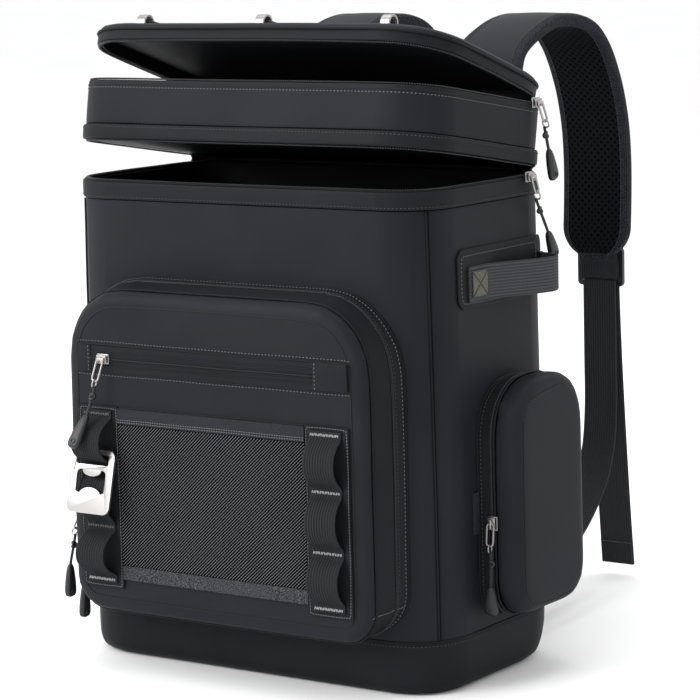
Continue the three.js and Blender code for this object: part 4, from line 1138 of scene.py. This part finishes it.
def make_pocket():
    cuts = cuts_along(ACROSS, UP, step=19 * MM)
    strip = dress("pocket_base_strip", "trim", "trim_fabric", cuts=cuts)
    gusset = dress("pocket_gusset", "trim", "trim_fabric", cuts=cuts)
    panel = dress("pocket_panel", "shell", "shell_fabric", cuts=cuts, flats=(FRONT, DEEP), roll=0)
    skin = skin_of(panel)
    edge = edge_loop("pocket_panel", DEEP)
    piping("pocket_piping", edge, skin_of(panel, gusset), 1.15 * MM, lift=0.5)
    inner = shifted(drawn_in(edge, 12.2 * MM, FRONT), FRONT, 14 * MM)
    # a near-black line in the groove round the pocket's face: painted shadow
    shadow_line("pocket_face_seam_shadow", inner, skin, True, 0.6 * MM)
    mouth = edge_loop("pocket_gusset", DEEP)
    both = skin_of(strip, gusset)
    # a near-black line in the zip gap: painted shadow
    shadow_line("pocket_zip_gap_shadow", mouth, both, True, 1.3 * MM)
    zip_teeth("pocket_zip_teeth", [zip_rows(mouth, both, 0.7 * MM, True)], 2.2 * MM, 1.0 * MM)
    strip_skin = skin_of(strip)
    seam = edge_loop("pocket_base_strip", DEEP)
    for name, path, finish in (("strip", shifted(seam, FRONT, 3.4 * MM), "thread"),
                               ("zip", shifted(mouth, DEEP, SEAM_STITCH), "dark_thread")):
        stitches(f"pocket_{name}_stitches", [row(path, strip_skin, closed=True)], finish)
    piping("pocket_base_piping", seam, strip_skin, 0.9 * MM, lift=0.2)
    tab_skin = skin_of(strip, gusset, panel)
    for side, sign in SIDES.items():
        low = [(sign * TAB_BESIDE, y, TAB_HEIGHT + 0.1 * (y + 0.095))
               for y in np.linspace(-0.097, -0.131, 6)]
        stitches(f"pocket_tab_stitches_{side}", [row(low, tab_skin, 2.2 * MM)])
        # a near-black line above the tab stitches: painted seam shadow
        shadow_line(f"pocket_tab_seam_shadow_{side}", shifted(low, UP, 1.8 * MM), tab_skin)
    make_slim_zip(skin)
    make_pouch(skin)


def make_slim_zip(skin):
    f = finishes()
    tape = dress("slim_zip", "tape", "zip_tape", cuts=cuts_along(ACROSS), roll=0.5 * MM)
    low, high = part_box("slim_zip")
    tape_skin = skin_of(tape)
    middle = (low.z + high.z) / 2
    start, end = low.x + 9 * MM, high.x - 30 * MM

    def along(rise):
        return face_path([(start, middle + rise), (end, middle + rise)])

    for i, rise in enumerate((-5.2, -1.5, 1.5, 5.2)):
        piping(f"slim_ridge_{i + 1}", along(rise * MM), tape_skin, 0.55 * MM, False, "trim", 0, "zip_tape")
    # a near-black line in the zip's gap: painted shadow
    shadow_line("slim_zip_gap_shadow", along(0), tape_skin, radius=0.8 * MM, slot="zip_tape")
    ends = [("left", low.x + 0.2 * MM, low.x + 15 * MM), ("right", high.x - 31 * MM, high.x - 0.2 * MM)]
    for side, u0, u1 in ends:
        width = u1 - u0
        tab = piece_from(f"slim_tab_{side}", *joined([placed(
            box_unit((width, high.z - low.z + 0.8 * MM, 1.2 * MM), 0.5 * MM),
            (u0 + width / 2, low.y - 0.1 * MM, middle), ACROSS, FRONT)]))
        complete(tab, f["trim"], "trim_fabric")
        inner = u1 - 2.4 * MM if side == "left" else u0 + 2.4 * MM
        stitches(f"slim_tab_stitches_{side}",
                 [row(face_path([(inner, low.z + 1 * MM), (inner, high.z - 1 * MM)]), skin_of(tab))])
    rows = [row(face_path([(low.x - 0.5 * MM, z), (high.x + 0.5 * MM, z)]), skin)
            for z in (low.z - 3.0 * MM, high.z + 3.0 * MM)]
    stitches("slim_zip_stitches", rows)
    for i, z in enumerate((low.z - 0.3 * MM, high.z + 0.3 * MM)):
        edge = face_path([(low.x, z), (high.x, z)])
        # near-black lines along the tape's edges: painted shadow
        shadow_line(f"slim_zip_edge_shadow_{i + 1}", edge, skin, radius=0.8 * MM, slot="zip_tape")


NET_ACROSS, NET_UP = 2.8 * MM, 1.26 * MM   # from one dash of the net to the next
NET_LEAN = radians(42)


def make_pouch(skin):
    cuts = cuts_along(ACROSS, UP, step=19 * MM)
    # the sheet under the net is near black: its own dark colour plus painted shade
    sheet = dress("mesh_panel", "net_ground_and_shade", "pouch_mesh", cuts=cuts, roll=0.5 * MM)
    low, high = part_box("mesh_panel")
    sheet_skin = skin_of(sheet)
    rows = []
    for i, z in enumerate(np.arange(low.z + NET_UP / 2, high.z, NET_UP)):
        shift = NET_ACROSS * (0.25 + 0.5 * (i % 2))
        path = face_path([(low.x + shift, z), (high.x - NET_ACROSS + shift, z)])
        rows.append(turned_rows(row(path, sheet_skin, NET_ACROSS, lift=0.1 * MM), NET_LEAN))
    # light threads over a near-black ground: painted highlight on the net
    net = spread_out("pouch_net", stitch_unit(2.15 * MM, 0.34 * MM), rows)
    complete(net, finishes()["net"], "pouch_mesh", settled=False)
    top = dress("mesh_hem_top", "band", "trim_fabric", cuts=cuts[:1], roll=0.5 * MM)
    dress("mesh_hem_bottom", "hem", "trim_fabric", cuts=cuts[:1], roll=0.5 * MM)
    t0, t1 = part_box("mesh_hem_top")
    hem = [row(face_path([(t0.x + 1 * MM, z), (t1.x - 1 * MM, z)]), skin_of(top), 2.3 * MM)
           for z in (t0.z + 1.4 * MM, t0.z + 3.2 * MM)]
    stitches("hem_stitches", hem)
    edge = face_path([(x, t1.z + 0.2 * MM) for x in (t0.x, t1.x)])
    # a near-black line along the hem's top edge: painted shadow
    shadow_line("hem_edge_shadow", edge, skin, radius=0.7 * MM)


# Webbing


def ribbed_profile(width, thickness):
    """Cross section of webbing: ribs along both faces and thin rounded edges."""
    half, tall, count = width / 2, thickness / 2, max(round(width / sizes().rib_pitch), 3)
    aside = np.linspace(-half + 0.6 * MM, half - 0.6 * MM, 4 * count + 1)
    rise = tall + sizes().rib_height * (0.5 - 0.5 * np.cos(np.linspace(0, 2 * pi * count, 4 * count + 1)))
    face = np.column_stack([aside, rise])
    return np.vstack([face, [(half, tall * 0.3), (half, -tall * 0.3)], (face * [1, -1])[::-1],
                      [(-half, -tall * 0.3), (-half, tall * 0.3)]])


def faces_out(sections, hint):
    """The way that each flat section faces, nearest to a hint at the first one."""
    found, hint = [], np.array(hint, float)
    for section in sections:
        arms = sorted(section[1:] - section[0], key=np.linalg.norm)
        out = arms[0] / np.linalg.norm(arms[0])
        if out @ hint < 0:
            out = -out
        found.append(out)
        hint = out
    return np.array(found)


def webbing_strip(name, node, towards, hint, finish, settled=True):
    """Ribbed webbing along the middle of a packed strap."""
    centres, sections = centre_line(node, towards, 4)
    arms = np.array([sorted(np.linalg.norm(s[1:] - s[0], axis=1)) for s in sections])
    outs = faces_out(sections, hint)
    path = smooth_path(centres, 2 * MM)
    run, _ = span(centres)
    at = span(path)[0] * run[-1] / span(path)[0][-1]
    out = np.stack([np.interp(at, run, outs[:, k]) for k in range(3)], axis=1)
    thick = np.interp(at, run, arms[:, 0] / arms[0, 0])
    profile = ribbed_profile(float(np.median(arms[:, 1])), float(arms[0, 0]) * 0.8)
    piece = swept(name, sweep(path, out, profile, scale=[np.ones(len(at)), thick]))
    return complete(piece, finishes()[finish], "webbing", node, settled=settled), path


def bar_tack(name, start, end, skin, height=2.6 * MM, finish="tack", pitch=0.8 * MM):
    """Dense zigzag stitches across a strap."""
    rows = row(line(start, end, 2), skin, pitch, lift=0.3 * MM)
    zigzag = pi / 2 + np.where(np.arange(len(rows[0])) % 2, 0.3, -0.3)
    return stitches(name, [turned_rows(rows, zigzag)], finish, stitch_unit(height, 0.4 * MM))


TACKS = (0.205, 0.162, 0.116, 0.074)                 # heights of the tacks on a column
LIGHT_TACKS = {"left": TACKS[-1:], "right": TACKS}   # the ones sewn in light thread
COLUMN_FACE, COLUMN_MIDDLE = -0.1386, 0.1075         # depth and place of a column where it is tacked


def make_columns():
    for side, sign in SIDES.items():
        node = f"webbing_backing_{side}"
        backing = dress(node, "trim", "trim_fabric", cuts=cuts_along(UP), roll=0.6 * MM)
        low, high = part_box(node)
        inset = 1.8 * MM
        frame_path = rectangle(low.x + inset, high.x - inset, low.z + inset, high.z - inset, 1 * MM,
                               lambda u, v: np.array((u, BEFORE, v)), 2)
        stitches(f"backing_stitches_{side}", [row(frame_path, skin_of(backing), 2.3 * MM, True)])
        strap, _ = webbing_strip(f"column_webbing_{side}", f"webbing_{side}", UP, FRONT, "column_webbing")
        skin = skin_of(strap)
        for z in TACKS:
            finish = "tack" if z in LIGHT_TACKS[side] else "thread"
            ends = [(sign * COLUMN_MIDDLE + across, COLUMN_FACE, z) for across in (-0.012, 0.012)]
            bar_tack(f"tack_{side}_{round(z / MM)}", *ends, skin, finish=finish)
    make_opener()


OPENER_LEAN, OPENER_TOP = radians(14.5), Vector((-0.1068, -0.1411, 0.177))
OPENER_LIPS = [(16.5 * MM, 9 * MM, 4.6 * MM), (36.5 * MM, 11 * MM, 7 * MM)]   # drop, width and height


def make_opener():
    f = finishes()
    dress("bottle_opener", "chrome", "steel", roll=0.5 * MM, levels=0, segments=3)
    up, out = (Vector((0, sin(turn), cos(turn))) for turn in (OPENER_LEAN, OPENER_LEAN - pi / 2))
    lips = []
    for drop, wide, tall in OPENER_LIPS:
        bpy.ops.mesh.primitive_cylinder_add(vertices=48, radius=1, depth=2 * MM)
        lip = bpy.context.active_object
        with editing(lip):
            bpy.ops.transform.resize(value=(wide, tall, 1))
        apply(lip, "BEVEL", width=0.4 * MM, segments=2, limit_method="ANGLE", angle_limit=radians(50))
        lips.append(placed(take(lip), OPENER_TOP - up * drop + out * 1.1 * MM, ACROSS, out))
    piece = piece_from("opener_lips", *joined(lips))
    complete(piece, f["chrome"], "steel")


# Sides


PATCH_BESIDE, PATCH_INSET = 0.2, 4.5 * MM
BOX_START, BOX_END, BOX_TALL = 2.5 * MM, 25 * MM, 10 * MM   # the sewn box at a handle's front end


def make_sides():
    cuts = cuts_along(DEEP, UP, step=18 * MM)
    for side, sign in SIDES.items():
        outward = ACROSS * sign
        patch = dress(f"side_patch_{side}", "trim", "trim_fabric", cuts=cuts, roll=0.7 * MM)
        low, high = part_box(f"side_patch_{side}")
        around = rectangle(
            low.y + PATCH_INSET, high.y - PATCH_INSET - 6 * MM, low.z + PATCH_INSET, high.z - PATCH_INSET,
            5 * MM, lambda u, v, x=sign * PATCH_BESIDE: np.array((x, u, v)), 4)
        stitches(f"patch_stitches_{side}", [row(around, skin_of(patch), closed=True)])
        _, path = webbing_strip(
            f"handle_webbing_{side}", f"side_handle_{side}", DEEP, outward, "heavy_webbing")
        first, last, middle = path[0][1] + BOX_START, path[0][1] + BOX_END, path[0][2]
        low, high = middle - BOX_TALL, middle + BOX_TALL
        corners = [(first, low), (last, low), (last, high), (first, high)]

        def over(start, end, lift, pitch, path=path, sign=sign):
            ends = [(np.interp(y, path[:, 1], path[:, 0]) + sign * lift, y, z) for y, z in (start, end)]
            return flat_row(*ends, pitch, ACROSS * sign)

        fill = []
        for i, z in enumerate(np.arange(low + 0.4 * MM, high - 0.3 * MM, 1.2 * MM)):
            places = over((first, z), (last, z), 1.5 * MM, 1.2 * MM)
            fill.append(turned_rows(places, 0.8 + 1.9 * np.sin(7.0 * i + 2.4 * np.arange(len(places[0])))))
        stitches(f"handle_fill_{side}", fill, "tack_fill", stitch_unit(2.0 * MM, 0.42 * MM))
        parts = [over(corners[i], corners[j], 1.9 * MM, 1.3 * MM)
                 for i, j in ((0, 1), (1, 2), (2, 3), (3, 0), (0, 2), (1, 3))]
        stitches(f"handle_stitches_{side}", parts, "dark_thread", stitch_unit(1.9 * MM, 0.55 * MM))
        make_side_pocket(side, sign, cuts)
    dress("side_tag", "band", "trim_fabric", roll=0.5 * MM)


# depth of the cover's crease, and its drop from the cover's top, for the painted shadow line along the
# crease
SIDE_CREASE = [(-0.014, 0.0165), (0.004, 0.0135), (0.026, 0.0108), (0.044, 0.0094)]


# depth and height of the fold round the cover's face, for the painted shadow line along the fold
SIDE_FOLD = [(-0.0225, 0.204), (-0.0238, 0.17), (-0.0238, 0.12), (-0.0236, 0.085), (-0.0215, 0.072),
             (-0.013, 0.0635), (0.002, 0.0595), (0.026, 0.0585), (0.05, 0.0605)]


def make_side_pocket(side, sign, cuts):
    outward = ACROSS * sign
    base_node, cover_node = f"side_pocket_base_{side}", f"side_pocket_cover_{side}"
    base = dress(base_node, "trim", "trim_fabric", cuts=cuts, roll=0.6 * MM)
    cover = dress(cover_node, "shell", "shell_fabric", cuts=cuts, flats=(outward, -outward), roll=0)
    skin, base_skin, both = skin_of(cover), skin_of(base), skin_of(cover, base)
    foot = edge_loop(cover_node, -outward)
    piping(f"side_cover_piping_{side}", foot, both, 1.0 * MM, lift=0.5)
    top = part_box(cover_node)[1].z
    crease = [(sign * BESIDE, y, top - drop) for y, drop in SIDE_CREASE]
    # a near-black line along the crease: painted shadow
    shadow_line(f"side_crease_shadow_{side}", crease, skin, radius=0.6 * MM)
    fold = [(sign * BESIDE, y, z) for y, z in SIDE_FOLD]
    # a near-black line along the fold round the cover's face: painted shadow
    shadow_line(f"side_fold_shadow_{side}", fold, skin, radius=0.45 * MM, lift=0)
    teeth = shifted(foot, outward, -3 * MM)
    # a near-black line in the zip gap: painted shadow
    shadow_line(f"side_zip_gap_shadow_{side}", teeth, base_skin, True, 1.2 * MM)
    zip_teeth(f"side_zip_teeth_{side}", [zip_rows(teeth, base_skin, 0.6 * MM, True)], 2.4 * MM, 1.0 * MM)
    seam = edge_loop(base_node, -outward)
    piping(f"side_base_piping_{side}", seam, base_skin, 0.95 * MM, lift=0.4)
    seam_stitches = [row(shifted(seam, outward, SEAM_STITCH), base_skin, closed=True)]
    stitches(f"side_base_stitches_{side}", seam_stitches, "dark_thread")


# Straps and back


TAIL_HEM = 20 * MM
STRAP_TALL, STRAP_ROUND = 5.5 * MM, 28 * MM   # half thickness of a padded strap, and its rounded end


def make_straps():
    back = dress("back_panel", "air", "air_mesh", cuts=cuts_along(ACROSS, UP, step=16 * MM), roll=2 * MM)
    points = points_of(back)
    low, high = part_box("back_panel")
    channel = np.exp(-((points[:, 0] / (11 * MM)) ** 2)) * ease(points[:, 1], low.y + 2 * MM, high.y)
    for rise in (points[:, 2] - low.z, high.z - points[:, 2]):
        channel *= ease(rise, 8 * MM, 30 * MM)
    points[:, 1] -= 5 * MM * channel
    move_points(back, points)
    edge = drawn_in(edge_loop("back_panel", FRONT), -0.5 * MM, DEEP)
    piping("back_panel_piping", edge, skin_of(back), 1.6 * MM)
    for side in SIDES:
        make_strap(side)
        node = f"strap_webbing_{side}"
        strap, path = webbing_strip(f"adjuster_{side}", node, DEEP, DEEP, "webbing", False)
        tail = span(path)[0][-1] - span(path)[0]
        hem = shifted(path[int(np.argmin(np.abs(tail - TAIL_HEM)))], FRONT, 4 * MM)
        ends = [shifted(hem, ACROSS, across * MM) for across in (-14, 14)]
        stitches(f"tail_hem_{side}", [row(line(*ends), skin_of(strap), 2 * MM, settled=False)])
        dress(f"ladder_lock_{side}", "lock", "moulded", roll=0.9 * MM, levels=0, segments=3)
        make_lock_loop(side)


def make_lock_loop(side):
    """The short webbing that holds the ladder lock to the strap's end."""
    low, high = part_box(f"ladder_lock_{side}")
    x, front = (low.x + high.x) / 2, low.y
    route = [(x, front - 6 * MM, high.z - 4 * MM), (x, front - 3 * MM, high.z - 10 * MM),
             (x, front - 1.3 * MM, high.z - 15 * MM), (x, front - 1.2 * MM, high.z - 24 * MM),
             (x, front + 0.6 * MM, high.z - 28 * MM)]
    path = smooth_path(route, 2 * MM)
    piece = swept(f"lock_loop_{side}", sweep(path, FRONT, ribbed_profile(37.6 * MM, 1.4 * MM)))
    complete(piece, finishes()["webbing"], "webbing", settled=False)


def make_strap(side):
    """A padded strap: coated outside, air mesh inside, bound round its edges and its end."""
    f = finishes()
    node = f"strap_pad_{side}"
    centres, sections = centre_line(node, DEEP, 8)
    wide = np.array([np.ptp(s[:, 0]) for s in sections]) / 2
    half, binding = float(wide.max()), sizes().binding
    path = smooth_path(centres, 2.6 * MM)
    run, along = span(centres)[0], tangents(path)
    at = span(path)[0] * run[-1] / span(path)[0][-1]
    out = np.cross(along, np.array(ACROSS))
    out *= np.sign(out[len(out) // 2] @ np.array(DEEP))
    from_end = span(path)[0][-1] - span(path)[0]
    rounded = np.sqrt(np.clip(1 - (1 - np.clip(from_end / STRAP_ROUND, 0, 1)) ** 2, 0.13, 1))
    share = np.minimum(np.interp(at, run, np.where(run > run[-1] - 40 * MM, 1, wide / half)), rounded)
    turns = np.linspace(0, 2 * pi, 72, endpoint=False)
    aside, rise = half * squared(turns, 0.55), STRAP_TALL * squared(turns - pi / 2, 0.42)
    bound = np.abs(aside) > half - binding
    rise = rise * np.where(bound, 1.06, 1.0 + 0.1 * np.cos(pi * aside / (2 * half - 2 * binding)))
    piece_parts = sweep(path, out, np.column_stack([aside, rise]), scale=[share, np.ones(len(path))])
    piece = piece_from(f"padded_strap_{side}", *piece_parts)
    count = len(turns)
    kinds = np.zeros(len(piece.data.polygons), np.int32)
    j = np.arange(len(kinds)) % count
    i = np.arange(len(kinds)) // count
    middle = np.minimum(np.abs(aside[j]), np.abs(aside[(j + 1) % count]))
    inner = (rise[j] + rise[(j + 1) % count]) < 0
    kinds[inner] = 1
    kinds[(middle > half - binding) | (i >= len(path) - 3)] = 2
    complete(piece, [f["strap"], f["strap_air"], f["binding"]], "shell_fabric", node, settled=False)
    piece.data.polygons.foreach_set("material_index", kinds)
    skin = skin_of(piece)
    rows = []
    for edge in (-1, 1):
        for lift in (-1, 1):
            beside = np.outer(share * (half - binding + 1.4 * MM) * edge, np.array(ACROSS))
            rows.append(row((path + beside + out * lift * 8 * MM)[2:-2], skin, 2.8 * MM, settled=False))
    stitches(f"strap_stitches_{side}", rows, "dark_thread")


# Operators and panel


class BACKPACK_OT_stage(bpy.types.Operator):
    """Set up the camera, the light and the floor"""

    bl_idname = "backpack.stage"
    bl_label = "Stage"

    def execute(self, context):
        make_stage()
        return {"FINISHED"}


class BACKPACK_OT_pulls(bpy.types.Operator):
    """Make the six zip sliders with their cords and grips"""

    bl_idname = "backpack.pulls"
    bl_label = "Zip Pulls"

    def execute(self, context):
        make_pulls()
        return {"FINISHED"}


class BACKPACK_OT_body(bpy.types.Operator):
    """Make the main body with its boot, rim, liner and corner piping"""

    bl_idname = "backpack.body"
    bl_label = "Main Body"

    def execute(self, context):
        make_body()
        return {"FINISHED"}


class BACKPACK_OT_deck(bpy.types.Operator):
    """Make the upper case with its flange, floor and hinges"""

    bl_idname = "backpack.deck"
    bl_label = "Upper Case"

    def execute(self, context):
        make_deck()
        return {"FINISHED"}


class BACKPACK_OT_lid(bpy.types.Operator):
    """Make the lid with its lace loops and elastic lace"""

    bl_idname = "backpack.lid"
    bl_label = "Lid"

    def execute(self, context):
        make_lid()
        return {"FINISHED"}


class BACKPACK_OT_pocket(bpy.types.Operator):
    """Make the front pocket with its zips and mesh pouch"""

    bl_idname = "backpack.pocket"
    bl_label = "Front Pocket"

    def execute(self, context):
        make_pocket()
        return {"FINISHED"}


class BACKPACK_OT_columns(bpy.types.Operator):
    """Make the webbing columns and the bottle opener"""

    bl_idname = "backpack.columns"
    bl_label = "Webbing Columns"

    def execute(self, context):
        make_columns()
        return {"FINISHED"}


class BACKPACK_OT_sides(bpy.types.Operator):
    """Make the side handles, the side pockets and the bare tag"""

    bl_idname = "backpack.sides"
    bl_label = "Sides"

    def execute(self, context):
        make_sides()
        return {"FINISHED"}


class BACKPACK_OT_straps(bpy.types.Operator):
    """Make the back panel, the padded straps and their webbing"""

    bl_idname = "backpack.straps"
    bl_label = "Straps and Back"

    def execute(self, context):
        make_straps()
        return {"FINISHED"}


OPERATORS = (BACKPACK_OT_stage, BACKPACK_OT_pulls, BACKPACK_OT_body, BACKPACK_OT_deck, BACKPACK_OT_lid,
             BACKPACK_OT_pocket, BACKPACK_OT_columns, BACKPACK_OT_sides, BACKPACK_OT_straps)


class BACKPACK_PT_panel(bpy.types.Panel):
    """Lists the settings and the pieces of the backpack"""

    bl_idname = "BACKPACK_PT_panel"
    bl_label = "Cooler Backpack"
    bl_space_type = "VIEW_3D"
    bl_region_type = "UI"
    bl_category = "Backpack"

    def draw(self, context):
        scene = context.scene
        for group in (scene.backpack_sizes, scene.backpack_colours, scene.backpack_view):
            column = self.layout.column()
            for key in group.bl_rna.properties.keys():
                if key not in ("rna_type", "name"):
                    column.prop(group, key)
        for operator in OPERATORS:
            self.layout.operator(operator.bl_idname)


GROUPS = {
    "backpack_sizes": BackpackSizes, "backpack_colours": BackpackColours, "backpack_view": BackpackView,
}


def register():
    for kind in (*GROUPS.values(), *OPERATORS, BACKPACK_PT_panel):
        bpy.utils.register_class(kind)
    for name, group in GROUPS.items():
        setattr(bpy.types.Scene, name, PointerProperty(type=group))


def unregister():
    for name in GROUPS:
        delattr(bpy.types.Scene, name)
    for kind in reversed((*GROUPS.values(), *OPERATORS, BACKPACK_PT_panel)):
        bpy.utils.unregister_class(kind)


def main():
    register()
    for operator in OPERATORS:
        group, name = operator.bl_idname.split(".")
        getattr(getattr(bpy.ops, group), name)()


if __name__ == "__main__":
    main()
